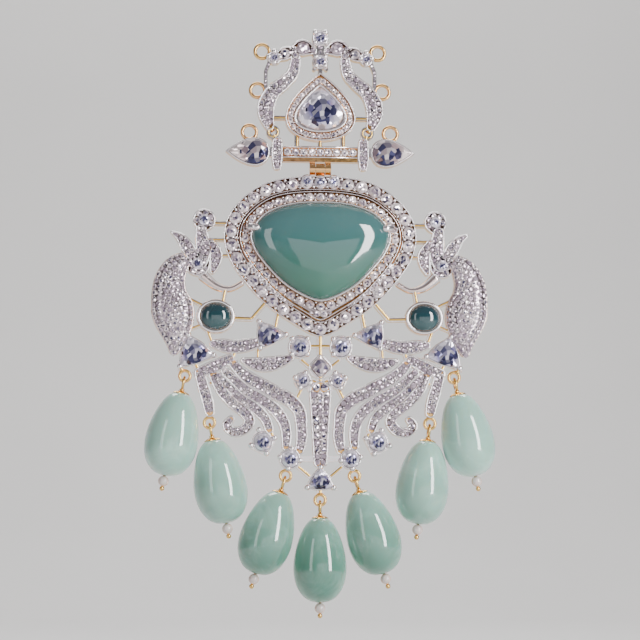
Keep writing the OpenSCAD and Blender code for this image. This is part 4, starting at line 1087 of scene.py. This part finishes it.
class PENDANT_OT_rails(bpy.types.Operator):
    """Polished rails and dark plates of painted shade under the leaves' stones, gold sleeves over the struts
    and rings, and the beaks
    """

    bl_idname = "pendant.rails"
    bl_label = "Rails and struts"

    def execute(self, context):
        r = context.scene.pendant_sizes.rail / MM
        for name, body, leaves in (("upper", "upper", UPPER_LEAVES), ("peacock", "pendant", PEACOCK_LEAVES)):
            runs, rails, bed_shades = [], [], []
            for key, rows in leaves.items():
                runs += broken_rails(rows, [others for k, others in leaves.items() if k != key])
                bed_shade = self.bed_shade(rows)
                bed_shades += [bed_shade, other_side(bed_shade)]
            if body == "pendant":
                rails = [tube(fronts(run, LEAF_TOP), r, 6) for run in broken_rails(STEM_ROWS, [])]
                bed_shades.append(self.bed_shade(STEM_ROWS))
                for disc in (HEAD, CREST_TOP):
                    ring = round_points(41, disc[2] - RAIL_INSET) + disc[:2]
                    runs += free_runs(ring, clear_of(ring, leaves.values()))
                    bed_shades += [self.bed_shade(self.disc_rows(disc, sign)) for sign in (-1, 1)]
            for run in runs:
                rails += both_tubes(run, LEAF_TOP, r, 6)
            piece(f"{name}_rails", joined(rails), "white_grains", body)
            piece(f"{name}_beds", joined(bed_shades), "bed_shade_metal", body)
        sleeves = self.sleeves(STRUTS + MIDDLE_STRUTS, [*PEACOCK_LEAVES.values(), STEM_ROWS])
        for x, z, _ in DROPS:
            ring = round_points(36, EYELET_R) + (x, z)
            sleeves.append(tube(fronts(ring, -0.1), 0.37, 10, True, deep=0.62))
        piece("strut_sleeves", joined(sleeves), "gold_metal", "pendant")
        beak = smooth_rows(BEAK_ROWS, 8)
        beaks = both_tubes(beak[:, :2], SLEEVE_MIDDLE, beak[:, 2] / 2 + 0.22, 16, 1.05)
        piece("beaks", joined(beaks), "blush_metal", "pendant")
        hooks = self.sleeves(UPPER_STRUTS, UPPER_LEAVES.values())
        for sign in (-1, 1):
            ring = round_points(36, HOOK_R) + np.array(HOOK_RING) * (sign, 1)
            hooks.append(tube(fronts(ring, SLEEVE_MIDDLE), 0.45, 12, True, deep=0.95))
        piece("upper_sleeves", joined(hooks), "gold_metal", "upper")
        return {"FINISHED"}

    def sleeves(self, struts, leaves):
        """Sleeves over struts and over their mirror images, where they don't lie in a leaf."""
        out = []
        for x1, z1, x2, z2, w in struts:
            line = np.linspace((x1, z1), (x2, z2), 40)
            for run in free_runs(line, clear_of(line, leaves, 0.1)):
                pair = both_tubes(run, SLEEVE_MIDDLE, w / 2 + SLEEVE_GROW, 12, SLEEVE_DEEP)
                out += pair if x1 or x2 else pair[:1]
        return out

    def disc_rows(self, disc, sign):
        """A round field as rows of a leaf: height r cos a and width 2 r sin a."""
        x, z, radius = disc
        a = np.linspace(0.1, np.pi - 0.1, 9)
        return np.column_stack([np.full(9, sign * x), z + radius * np.cos(a), 2 * radius * np.sin(a)])

    def bed_shade(self, rows):
        """Thin dark plate under the stones of a leaf, painted shade in the gaps between them: its middle
        line plus and minus the half width.
        """
        curve = smooth_rows(rows, 8)
        side = left_of(headings(curve[:, :2])) * np.maximum(curve[:, 2:] / 2 - BED_INSET, 0.04)
        n = len(curve)
        left, right = curve[:, :2] + side, curve[:, :2] - side
        points = np.vstack([fronts(line, y) for y in (BED_TOP, BED_BACK) for line in (right, left)])
        k = np.arange(n - 1)
        quad = np.stack([k, k + 1, k + 1 + n, k + n], 1)
        walls = np.stack([k + 1, k, k + 2 * n, k + 1 + 2 * n], 1)
        ends = np.array([[0, n, 3 * n, 2 * n], [2 * n - 1, n - 1, 3 * n - 1, 4 * n - 1]])
        return points, [quad, quad[:, ::-1] + 2 * n, walls, walls[:, ::-1] + n, ends]


class PENDANT_OT_pave(bpy.types.Operator):
    """Pave stones and bead grains in the leaves of both plates, and over the peacocks' round bodies"""

    bl_idname = "pendant.pave"
    bl_label = "Pave"

    def execute(self, context):
        sizes = context.scene.pendant_sizes
        d = sizes.leaf_stone / MM
        seats = [(x, z, r + CLAW_ROOM) for x, z, r, _ in CLAW_STONES.values()]
        seats += [(*SQUARE_MID, SQUARE_ROOM), (*OVAL_MID, OVAL_ROOM)]
        seats += [(x, z, EYELET_ROOM) for x, z, _ in DROPS]
        for corners in (TAIL_TRILLION, SIDE_TRILLION):
            seats.append((*np.mean(corners, 0), TRILLION_ROOM))
            seats += [(x, z, CORNER_ROOM) for x, z in corners]
        upper_seats = [(*HOOK_RING, HOOK_ROOM), (*SIDE_STONE, SIDE_STONE_R + 0.4), (*CLAW_MID, 2.2)]
        upper_seats += [(x, z, across / 2 + 0.3) for x, z, across in LOBE_STONES]
        stone = small_stone()
        for name, body, leaves, rounds, discs in (
            ("upper", "upper", UPPER_LEAVES, [], upper_seats),
            ("peacock", "pendant", PEACOCK_LEAVES, [HEAD, CREST_TOP], seats),
        ):
            stones, grains = pave_fields(leaves.values(), rounds, discs, d)
            if body == "upper":
                line = along(np.array(SIDE_LINE), np.arange(0.3, 6.4, 0.78))
                stones = np.vstack([stones, np.column_stack([line, np.full(len(line), 0.8)])])
                lobes = np.array(LOBE_STONES)
                middle = np.vstack([lobes, mirrored(lobes), POST_STONES])
                middle_grains = np.empty((0, 3))
            else:
                curve, *fields = pave_columns(STEM_ROWS, PAVE_MARGIN, d * 1.35)
                middle, middle_grains = (
                    np.column_stack([on_leaf(curve, rows), rows[:, 2]]) for rows in fields)
            stones = np.vstack([stones, mirrored(stones), middle])
            grains = np.vstack([grains, mirrored(grains), middle_grains])
            piece(f"{name}_pave_stones", placed(stone, fronts(stones[:, :2], LEAF_TOP - 0.1), stones[:, 2]),
                  "bright_facets", body, smooth=False, cut=stone)
            piece(f"{name}_pave_grains", placed(grain(), fronts(grains[:, :2], LEAF_TOP), grains[:, 2]),
                  "white_grains", body)
        self.round_bodies(sizes.body_stone / MM)
        return {"FINISHED"}

    def round_bodies(self, d):
        """Skins and edges of the bodies, a little over their packed domes, with stones and grains square to
        them. The skins are painted shade between the body stones. A skin is a grid of body points over its
        flat shadow, with a wall between."""
        curve = smooth_rows(BODY_ROWS, 10)
        total = run_lengths(curve)[-1]
        rows, columns = 60, 25
        s = np.repeat(np.linspace(0, total + 0.95, rows), columns)
        turn = np.tile(np.linspace(-np.pi / 2, np.pi / 2, columns), rows)
        top = body_point(curve, s, turn) - (0, 0.05, 0)
        low = top * (1, 0, 1) - (0, CHANNEL_FLOOR, 0)
        n = rows * columns
        edge = np.concatenate([
            np.arange(columns), np.arange(1, rows) * columns + columns - 1,
            np.arange(columns - 2, -1, -1) + (rows - 1) * columns, np.arange(rows - 2, 0, -1) * columns])
        after = np.roll(edge, -1)
        faces = grid_faces(rows, columns, False)
        wall = np.stack([edge, after, after + n, edge + n], 1)
        skin = np.vstack([top, low]), [faces[:, ::-1], faces + n, wall]
        piece("body_shade_skins", joined([skin, other_side(skin)]), "halo_bed_shade", "pendant")
        s = np.linspace(0, total + 0.8, 60)
        down, up = (body_point(curve, s, np.full(60, k * np.pi / 2)) for k in (1, -1))
        line = np.vstack([down, up[::-1]]) - (0, 0.1, 0)
        edges = [tube(line * (sign, 1, 1), 0.24, 8) for sign in (-1, 1)]
        piece("body_edges", joined(edges), "blush_metal", "pendant")
        stones, grains = body_pave(curve, d)
        for name, rows, template, material, slot, cut in (
            ("stones", stones, small_stone(), "bright_facets", "clear_stone", small_stone()),
            ("grains", grains, grain(), "white_grains", "white_metal", None),
        ):
            s, turn, size_of = rows.T
            axes = body_axes(curve, s, turn)
            centres = body_point(curve, s, turn) + axes[:, 2] * 0.12
            other = axes * (-1, 1, 1)
            other[:, 0] *= -1
            both = joined([placed(template, centres, size_of, axes),
                           placed(template, centres * (-1, 1, 1), size_of, other)])
            piece(f"body_pave_{name}", both, material, "pendant", smooth=cut is None, cut=cut)


class PENDANT_OT_halos(bpy.types.Operator):
    """Brilliant-cut stones of the halos and the bar, each row with its claws"""

    bl_idname = "pendant.halos"
    bl_label = "Halos"

    def execute(self, context):
        claw_r = context.scene.pendant_sizes.halo_claw / MM
        halo, centre = whole_outline(HALO_HALF), whole_outline(CENTRE_HALF)
        collar = -COLLET_ROOM - COLLET_W
        outer = spread(inset(halo, 0.01 + OUTER_BAND / 2), OUTER_COUNT)
        inner = spread(inset(centre, collar - INNER_D / 2), INNER_COUNT)
        pear_row = spread(self.teardrop(pear(PEAR_OUTER), PEAR_LINE), PEAR_STONES, 0.5)
        bar_x = (np.arange(BAR_COUNT) - (BAR_COUNT - 1) / 2) * BAR_PITCH
        bar_row = np.stack([bar_x, np.full(BAR_COUNT, BAR_Z)], 1)
        cut = brilliant(round_points(16, 0.49), crown=0.17, girdle=0.03, depth=0.34)
        for name, body, places, d, girdle in (
            ("outer_halo", "pendant", outer, OUTER_D, OUTER_RAIL),
            ("inner_halo", "pendant", inner, INNER_D, INNER_RAIL - 0.15),
            ("upper_halo", "upper", pear_row, 1.3, 1.2),
            ("upper_bar", "upper", bar_row, 1.7, 0.85),
        ):
            piece(f"{name}_brilliants", placed(cut, fronts(places, girdle - 0.08), d), "halo_facets", body,
                  smooth=False, replaces=[f"{name}_stones"], cut=cut)
            # Two claws between neighbours, one on each side of the row
            here = places[:-1] if name == "upper_bar" else places
            after = np.roll(places, -1, 0)[:len(here)]
            side = left_of(after - here) / np.linalg.norm(after - here, axis=1, keepdims=True)
            between = [(here + after) / 2 + side * k * d * 0.36 for k in (-1, 1)]
            r = claw_r * min(1.0, d / 2.3)
            claws = [placed(grain(), fronts(line, girdle + 0.1 * d), r) for line in between]
            piece(f"{name}_claws", joined(claws), "white_grains", body)
        # Small stones fill the room between the inner row and the outer wall, near the halo's foot
        wall = inset(halo, OUTER_BAND + GROOVE + 0.2)
        line = inset(centre, collar - INNER_D - 0.75)
        row = np.column_stack([inner, np.full(INNER_COUNT, INNER_D)])
        extra = fillers(line[line[:, 1] < -40], np.vstack([wall, wall[:1]]), row, 0.5)
        piece("halo_fillers", placed(cut, fronts(extra[:, :2], INNER_RAIL - 0.15), extra[:, 2]),
              "halo_facets", "pendant", smooth=False, cut=cut)
        # A dark wire down the groove between the halo's two rows: a thin line in the groove, darkened as
        # painted shade
        groove = inset(halo, OUTER_BAND + GROOVE / 2)
        piece("groove_shade_wire", tube(fronts(groove, 0.75), 0.2, 8, True), "bed_shade_metal", "pendant")
        edges = [tube(fronts(line, height), r, sides, True) for line, height, r, sides in (
            (inset(centre, -0.05 - COLLET_W / 2), COLLET_TOP - 0.05, 0.2, 10),
            (inset(halo, 0.12), OUTER_RAIL, 0.12, 8),
            (inset(halo, OUTER_BAND - 0.07), OUTER_RAIL, 0.1, 8),
            (inset(halo, OUTER_BAND + GROOVE + 0.07), INNER_RAIL, 0.1, 8))]
        piece("halo_edges", joined(edges), "white_grains", "pendant")
        # Plates of painted shade behind the halo's two rows of stones, lighter than the pave's
        inner_edge = inset(inset(centre, collar), -0.02)
        bed_shades = [self.ring_plate(inset(halo, 0.15), inset(halo, OUTER_BAND - 0.12), OUTER_RAIL - 0.4),
                self.ring_plate(inset(halo, OUTER_BAND + GROOVE + 0.1), inner_edge, INNER_RAIL - 0.5)]
        piece("halo_bed_shades", joined(bed_shades), "halo_bed_shade", "pendant")
        line = pear(PEAR_OUTER, 96)
        edges = [tube(fronts(self.teardrop(line, 0.18), PEAR_RAIL), 0.17, 8, True),
                 tube(fronts(self.teardrop(line, 2.2), PEAR_RAIL - 0.1), 0.27, 8, True)]
        for z in (BAR_Z - 1.15, BAR_Z + 1.15):
            edges.append(tube(fronts([(-8.4, z), (8.4, z)], LEAF_TOP), 0.17, 8))
        piece("pear_and_bar_edges", joined(edges), "white_grains", "upper")
        # Plate of painted shade round the pear stone, inside its collet
        bed_shade = self.ring_plate(self.teardrop(line, 0.2), self.teardrop(line, 2.1), 1.12)
        piece("pear_bed_shade", bed_shade, "halo_bed_shade", "upper")
        return {"FINISHED"}

    def ring_plate(self, outer, inner, top, count=160, thick=0.15):
        """A thin plate between two closed lines: four rings of points, in even steps round them."""
        outer, inner = (spread(line, count) for line in (outer, inner))
        inner = np.roll(inner, -np.hypot(*(inner - outer[0]).T).argmin(), 0)
        rings = ((outer, top), (inner, top), (inner, top - thick), (outer, top - thick))
        points = np.vstack([fronts(line, height) for line, height in rings])
        return points, [grid_faces(4, count, True, True)[:, ::-1]]

    def teardrop(self, line, d):
        """A teardrop outline moved inwards, cut short near its point where the two sides would cross."""
        moved = inset(line, d)
        keep = moved[:, 0] * line[:, 0] > -0.001
        keep[0] = False
        return moved[keep]


class PENDANT_OT_domed_stones(bpy.types.Operator):
    """The domed centre stone and the two ovals, with their bezels and claws"""

    bl_idname = "pendant.domed_stones"
    bl_label = "Domed stones"

    def dome(self, outline, middle, seat, wall, rise, rings=28):
        """A domed stone: its outline scaled by cos a at height wall + rise sin a, down to a flat back."""
        o = outline[::-1] - middle
        n = len(o)
        a = np.linspace(0, np.pi / 2, rings)[:-1]
        scale = np.concatenate([[0.97, 1.0], np.cos(a)])
        height = np.concatenate([[0.0, 0.12], wall + rise * np.sin(a)])
        levels = [fronts(o * k + middle, seat + up) for k, up in zip(scale, height)]
        points = np.vstack(levels + [fronts(middle, seat + wall + rise), fronts(middle, seat)])
        j = np.arange(n)
        k = (j + 1) % n
        last = (len(scale) - 1) * n
        top, back = np.full(n, len(points) - 2), np.full(n, len(points) - 1)
        summit, base = np.stack([last + j, last + k, top], 1), np.stack([k, j, back], 1)
        return points, [grid_faces(len(scale), n), summit, base]

    def execute(self, context):
        claw_r = context.scene.pendant_sizes.claw / MM
        outline = whole_outline(CENTRE_HALF, 10)
        shape = self.dome(outline, np.array(CENTRE_MID), CENTRE_SEAT, CENTRE_WALL, CENTRE_RISE)
        piece("centre_cabochon", shape, "centre_stone", "pendant",
              replaces=["centre_stone"], polished=True)
        ring = round_points(72)[::-1]
        bezels = []
        for side, sign in SIDES:
            middle = np.array(OVAL_MID) * (sign, 1)
            shape = self.dome(ring * OVAL_HALF + middle, middle, CHANNEL_FLOOR + 0.05, 0.7, 1.9, 18)
            piece(f"oval_cabochon_{side}", shape, "oval_stone", "pendant",
                  replaces=[f"oval_stone_{side}"], polished=True)
            bezel = fronts(ring * (np.array(OVAL_HALF) + 0.45) + middle, OVAL_TOP - 0.1)
            bezels.append(tube(bezel, 0.4, 14, True, deep=0.35))
        piece("oval_bezels", joined(bezels), "plated_metal", "pendant")
        radius = claw_r * np.array([1.4, 1.4, 1.3, 1.0])
        lines = (np.array(CENTRE_CLAW) * (sign, 1, 1) for sign in (-1, 1))
        claws = [tube(line, radius, 10, across=(0, 0, 1)) for line in lines]
        piece("centre_claws", joined(claws), "white_grains", "pendant")
        return {"FINISHED"}


class PENDANT_OT_single_stones(bpy.types.Operator):
    """The single cut stones, with rims and rounded claw tips"""

    bl_idname = "pendant.single_stones"
    bl_label = "Single stones"

    def cut(self, name, outline, middle, height=GIRDLE, crown=0.85, depth=0.65, body="pendant",
            material="deep_facets", rim=0.25):
        """One cut stone over a clockwise outline in x and z, its girdle at a height, and its rim's line."""
        cut = brilliant((outline - middle)[::-1], crown, girdle=0.12, depth=depth)
        piece(f"{name}_cut", placed(cut, fronts(middle, height)), material, body,
              smooth=False, replaces=[name], cut=cut)
        around = smooth_rows(outline, 4, closed=True)
        self.rims[body].append(tube(fronts(inset(around, -rim), LEAF_TOP + 0.02), 0.22, 8, True))

    def round_cut(self, name, middle, radius, **options):
        """One round stone with sixteen sides."""
        self.cut(name, round_points(16, radius)[::-1] + middle, middle, **options)

    def square_outline(self):
        """A square of half width 1 with cut corners, clockwise: sixteen directions, each as far out as
        max(|x|, |z|) = 1 and |x| + |z| = 1.28 allow."""
        ring = round_points(16)[::-1]
        reach = np.abs(ring)
        return ring / np.maximum(reach.max(1), reach.sum(1) / 1.28)[:, None]

    def soft_corners(self, corners):
        """Outline of a three-cornered stone: blunt corners and sides bowed out, clockwise."""
        c = np.asarray(corners, float)
        m = c.mean(0)
        c = c - m
        if np.cross(c[1] - c[0], c[2] - c[0]) > 0:
            c = c[::-1]
        out = []
        for k in range(3):
            here, after, before = c[k], c[(k + 1) % 3], c[(k + 2) % 3]
            out += [here + (before - here) * 0.16, here * 0.9, here + (after - here) * 0.16,
                    (here * 0.7 + after * 0.3) * 1.07, (here + after) / 2 * 1.14,
                    (here * 0.3 + after * 0.7) * 1.07]
        return np.array(out) + m, m

    def corner_tips(self, corners, m):
        """Places of the claws at a three-cornered stone's corners."""
        out = np.asarray(corners) - m
        return list(m + out * 0.92 + out / np.linalg.norm(out, axis=1, keepdims=True) * TIP_OUT)

    def execute(self, context):
        claw_r = context.scene.pendant_sizes.claw / MM
        self.rims = {"upper": [], "pendant": []}
        tips = {"upper": [], "pendant": []}
        self.cut("upper_pear_stone", pear(PEAR_STONE, 24), PEAR_MID, 1.1, crown=1.6, depth=1.3,
                 body="upper", rim=0.1)
        for name, m, r, height in (("upper_crown_stone", CROWN_MID, 1.5, 0.85),
                                   ("upper_claw_stone", CLAW_MID, 1.3, GIRDLE)):
            self.round_cut(name, m, r, height=height, crown=0.5, depth=0.4, body="upper", rim=0.13)
            tips["upper"] += list(m + round_points(4, r + TIP_OUT, np.pi / 4))
        for side, sign in SIDES:
            m = np.array(SIDE_STONE) * (sign, 1)
            self.round_cut(f"upper_side_stone_{side}", m, SIDE_STONE_R, height=0.85, crown=0.4, depth=0.35,
                           body="upper")
            tips["upper"] += list(m + round_points(4, SIDE_STONE_R + TIP_OUT))
            line = (end_outline(0) * (sign, 1))[::sign]
            self.cut(f"upper_end_stone_{side}", line, np.array(END_MID) * (sign, 1), GIRDLE - 0.05,
                     crown=0.9, depth=0.6, body="upper", material="blush_facets", rim=0.15)
            for name, corners in (("tail_trillion", TAIL_TRILLION), ("side_trillion", SIDE_TRILLION)):
                corners = np.array(corners) * (sign, 1)
                outline, m = self.soft_corners(corners)
                self.cut(f"{name}_{side}", outline, m, rim=0.12)
                tips["pendant"] += self.corner_tips(corners, m)
            turn = np.radians(SQUARE_TURN) * sign
            m = np.array(SQUARE_MID) * (sign, 1)
            spin = np.array([(np.cos(turn), -np.sin(turn)), (np.sin(turn), np.cos(turn))])
            square = SQUARE_HALF * self.square_outline() @ spin.T
            self.cut(f"square_stone_{side}", square + m, m, rim=0.15)
            for corner in ((1, 1), (1, -1), (-1, 1), (-1, -1)):
                tips["pendant"].append(m + SQUARE_HALF * 0.96 * spin @ np.array(corner))
            for name, (x, z, r, first) in CLAW_STONES.items():
                m = np.array((sign * x, z))
                self.round_cut(f"{name}_{side}", m, r)
                a = np.radians(first + 90 * np.arange(4))
                tips["pendant"] += list(m + (r + 0.3) * np.stack([sign * np.cos(a), np.sin(a)], 1))
        kite = round_points(16)[::-1]
        kite = kite / (np.abs(kite).sum(1, keepdims=True) ** 0.85) * KITE_HALF
        self.cut("kite_stone", kite + KITE_MID, KITE_MID, crown=0.8, material="bright_facets")
        outline, m = self.soft_corners(TIP_CORNERS)
        self.cut("tip_stone", outline, m, rim=0.12)
        tips["pendant"] += self.corner_tips(TIP_CORNERS, m)
        tip = lathe([(0, 0.62), (0.5, 0.5), (0.85, 0.2), (1, -0.3), (1, -1.6), (0, -1.6)], 12)
        for body, places in tips.items():
            piece(f"{body}_claw_tips", placed(tip, fronts(np.array(places), CLAW_TOP - 0.05), claw_r),
                  "white_grains", body)
            piece(f"{body}_rims", joined(self.rims[body]), "white_grains", body)
        small = brilliant(round_points(16, 0.5), crown=0.17, girdle=0.03, depth=0.3)
        rows = [(x, z, 2.6, 1.62) for x, z in TOP_STONES]
        rows += [(sign * x, z, 1.25 * BUMP_D, 1.1) for x, z, _ in (HEAD, CREST_TOP) for sign in (-1, 1)]
        x, z, across, height = np.array(rows).T
        stones = placed(small, fronts(np.stack([x, z], 1), height), across)
        piece("bump_stones", stones, "deep_facets", "pendant", smooth=False, cut=small)
        return {"FINISHED"}


class PENDANT_OT_drops(bpy.types.Operator):
    """The seven drops: bead, loop, wrapped wire, petal cap, end bead and pin head"""

    bl_idname = "pendant.drops"
    bl_label = "Drops"

    def execute(self, context):
        wrap_r = context.scene.pendant_sizes.wrap / MM
        low, top, bottom = -LOOP_DROP - LOOP_R, -BEAD_TOP, -BEAD_TOP - DROP_LEN
        t = (1 - np.cos(np.linspace(0, np.pi, 64))) / 2
        radius = DROP_R * np.sin(np.pi * t**1.36).clip(0) ** (0.28 + 0.1 * t)
        bead = lathe(np.stack([radius, top - t * DROP_LEN], 1), 72)
        turn = np.linspace(0, 2 * np.pi, 49)[:-1]
        ring = np.stack([np.zeros(48), LOOP_R * np.cos(turn), LOOP_R * np.sin(turn) - LOOP_DROP], 1)
        loop = tube(ring, WIRE_R, 12, True, across=(1, 0, 0))
        a = np.linspace(0, 8 * np.pi, 97)
        spiral = np.stack([COIL_R * np.cos(a), COIL_R * np.sin(a), low - 0.02 - a / a[-1] * COIL_LEN], 1)
        coil = tube(spiral, wrap_r, 8, across=(0, 0, 1))
        stem = tube([(0, 0, low + 0.1), (0, 0, low - 0.4), (0, 0, top)], WIRE_R, 12, across=(1, 0, 0))
        cap = lathe(np.add(CAP_ROWS, (0, top)), 60, ripple=0.13, lobes=6)
        pin = tube([(0, 0, bottom + 0.1), (0, 0, -PIN_HEAD_DROP + 0.3)], WIRE_R, 10, across=(1, 0, 0))
        head = ball(PIN_HEAD_R, 20, 11)
        head = (head[0] - (0, 0, PIN_HEAD_DROP), head[1])
        pearl = ball(END_BEAD_R, 28, 17)
        pearl = (pearl[0] - (0, 0, END_BEAD_DROP), pearl[1])
        for k, drop in enumerate(DROPS, 1):
            piece(f"drop_stone_{k}", hung(bead, drop), "drop_stone", "pendant",
                  replaces=[f"drop_bead_{k}"], polished=True)
            metal = joined([hung(shape, drop) for shape in (loop, stem, coil, cap, pin, head)])
            piece(f"drop_fitting_{k}", metal, "gold_metal", "pendant", replaces=[f"drop_wire_{k}"])
            piece(f"drop_tip_{k}", hung(pearl, drop), "end_bead", "pendant",
                  replaces=[f"drop_end_{k}"], polished=True)
        return {"FINISHED"}


class PENDANT_OT_stage(bpy.types.Operator):
    """Pale sweep behind and under the pendant, soft lights and the camera"""

    bl_idname = "pendant.stage"
    bl_label = "Stage"

    def execute(self, context):
        scene = context.scene
        a = np.linspace(0, np.pi / 2, 24)
        floor_z, front_y, back_y, top_z, bend, half_width = -132.0, -250.0, 750.0, 700.0, 350.0, 1500.0
        curve = np.stack([back_y - bend + bend * np.sin(a), floor_z + bend - bend * np.cos(a)], 1)
        profile = np.vstack([[(front_y, floor_z)], curve, [(back_y, top_z)]])
        points = np.array([(x, y, z) for y, z in profile for x in (-half_width, half_width)])
        mesh = bpy.data.meshes.new("sweep")
        mesh.from_pydata((points * MM).tolist(), [], grid_faces(len(profile), 2, False).tolist())
        mesh.polygons.foreach_set("use_smooth", np.ones(len(mesh.polygons), bool))
        mesh.materials.append(bpy.data.materials["floor"])
        sweep = bpy.data.objects.new("sweep", mesh)
        scene.collection.objects.link(sweep)

        world = bpy.data.worlds.new("studio")
        world.use_nodes = True
        tree = world.node_tree
        split = node(tree, "ShaderNodeSeparateXYZ")
        tree.links.new(node(tree, "ShaderNodeTexCoord").outputs["Generated"], split.inputs[0])
        up = split.outputs["Z"]
        sky = mix(tree, ramp(tree, up, -0.4, 0.9), (0.05, 0.05, 0.05, 1), (0.31, 0.3, 0.31, 1))
        sky = mix(tree, ramp(tree, up, 0.0, -0.08), sky, (0.4, 0.39, 0.39, 1))
        box = maths(tree, "LESS_THAN", split.outputs["Y"], -0.2)
        for part, low, high in (("X", -0.32, 0.5), ("Z", -0.6, 0.16)):
            for edge, sign in ((low, 1), (high, -1)):
                box = maths(tree, "MULTIPLY", box, ramp(tree, split.outputs[part], edge, edge + sign * 0.03))
        tree.links.new(mix(tree, box, sky, (1.5, 1.47, 1.47, 1)), tree.nodes["Background"].inputs["Color"])
        scene.world = world
        middle = Vector((0, 0, -0.052))
        for name, place, size_xy, power in (
            ("strip_right", (0.26, -0.30, 0.02), (0.09, 0.42), 2.9),
            ("strip_left", (-0.25, -0.27, 0.0), (0.08, 0.34), 0.25),
            ("top_box", (0.0, 0.22, 0.42), (0.45, 0.35), 2.2),
            ("wall_wash", (0.0, 0.30, 0.60), (0.6, 0.3), 3.5),
        ):
            light = bpy.data.lights.new(name, "AREA")
            light.shape = "RECTANGLE"
            light.size, light.size_y = size_xy
            light.energy = power
            obj = bpy.data.objects.new(name, light)
            obj.location = place
            aim = Vector((0, 0.75, 0.05)) if name == "wall_wash" else middle
            obj.rotation_euler = (aim - obj.location).to_track_quat("-Z", "Y").to_euler()
            scene.collection.objects.link(obj)

        camera = bpy.data.cameras.new("camera")
        camera.lens = 110
        camera.sensor_width = 36
        obj = bpy.data.objects.new("camera", camera)
        az, el, distance = np.radians(-4), np.radians(-7), 0.435
        way = Vector((np.sin(az) * np.cos(el), -np.cos(az) * np.cos(el), np.sin(el)))
        obj.location = middle + distance * way
        obj.rotation_euler = (middle - obj.location).to_track_quat("-Z", "Y").to_euler()
        scene.collection.objects.link(obj)
        scene.camera = obj
        return {"FINISHED"}


class PENDANT_PT_panel(bpy.types.Panel):
    """Lists the pieces and their sizes and colours"""

    bl_idname = "PENDANT_PT_panel"
    bl_label = "Peacock pendant"
    bl_space_type = "VIEW_3D"
    bl_region_type = "UI"
    bl_category = "Pendant"

    def draw(self, context):
        for op in OPERATORS:
            self.layout.operator(op.bl_idname)
        for key, kind in (("pendant_sizes", PendantSizes), ("pendant_colours", PendantColours)):
            box = self.layout.box()
            for prop in kind.__annotations__:
                box.prop(getattr(context.scene, key), prop)


OPERATORS = (
    PENDANT_OT_materials, PENDANT_OT_metal, PENDANT_OT_rails, PENDANT_OT_pave, PENDANT_OT_halos,
    PENDANT_OT_domed_stones, PENDANT_OT_single_stones, PENDANT_OT_drops, PENDANT_OT_stage,
)
CLASSES = (PendantSizes, PendantColours, *OPERATORS, PENDANT_PT_panel)


def register():
    """Make the settings, steps and panel known."""
    for cls in CLASSES:
        bpy.utils.register_class(cls)
    bpy.types.Scene.pendant_sizes = bpy.props.PointerProperty(type=PendantSizes)
    bpy.types.Scene.pendant_colours = bpy.props.PointerProperty(type=PendantColours)


def unregister():
    """Take the settings, steps and panel away again."""
    del bpy.types.Scene.pendant_colours
    del bpy.types.Scene.pendant_sizes
    for cls in reversed(CLASSES):
        bpy.utils.unregister_class(cls)


def main():
    """Run every step in order."""
    register()
    for op in OPERATORS:
        section, name = op.bl_idname.split(".")
        getattr(getattr(bpy.ops, section), name)()


if __name__ == "__main__":
    main()
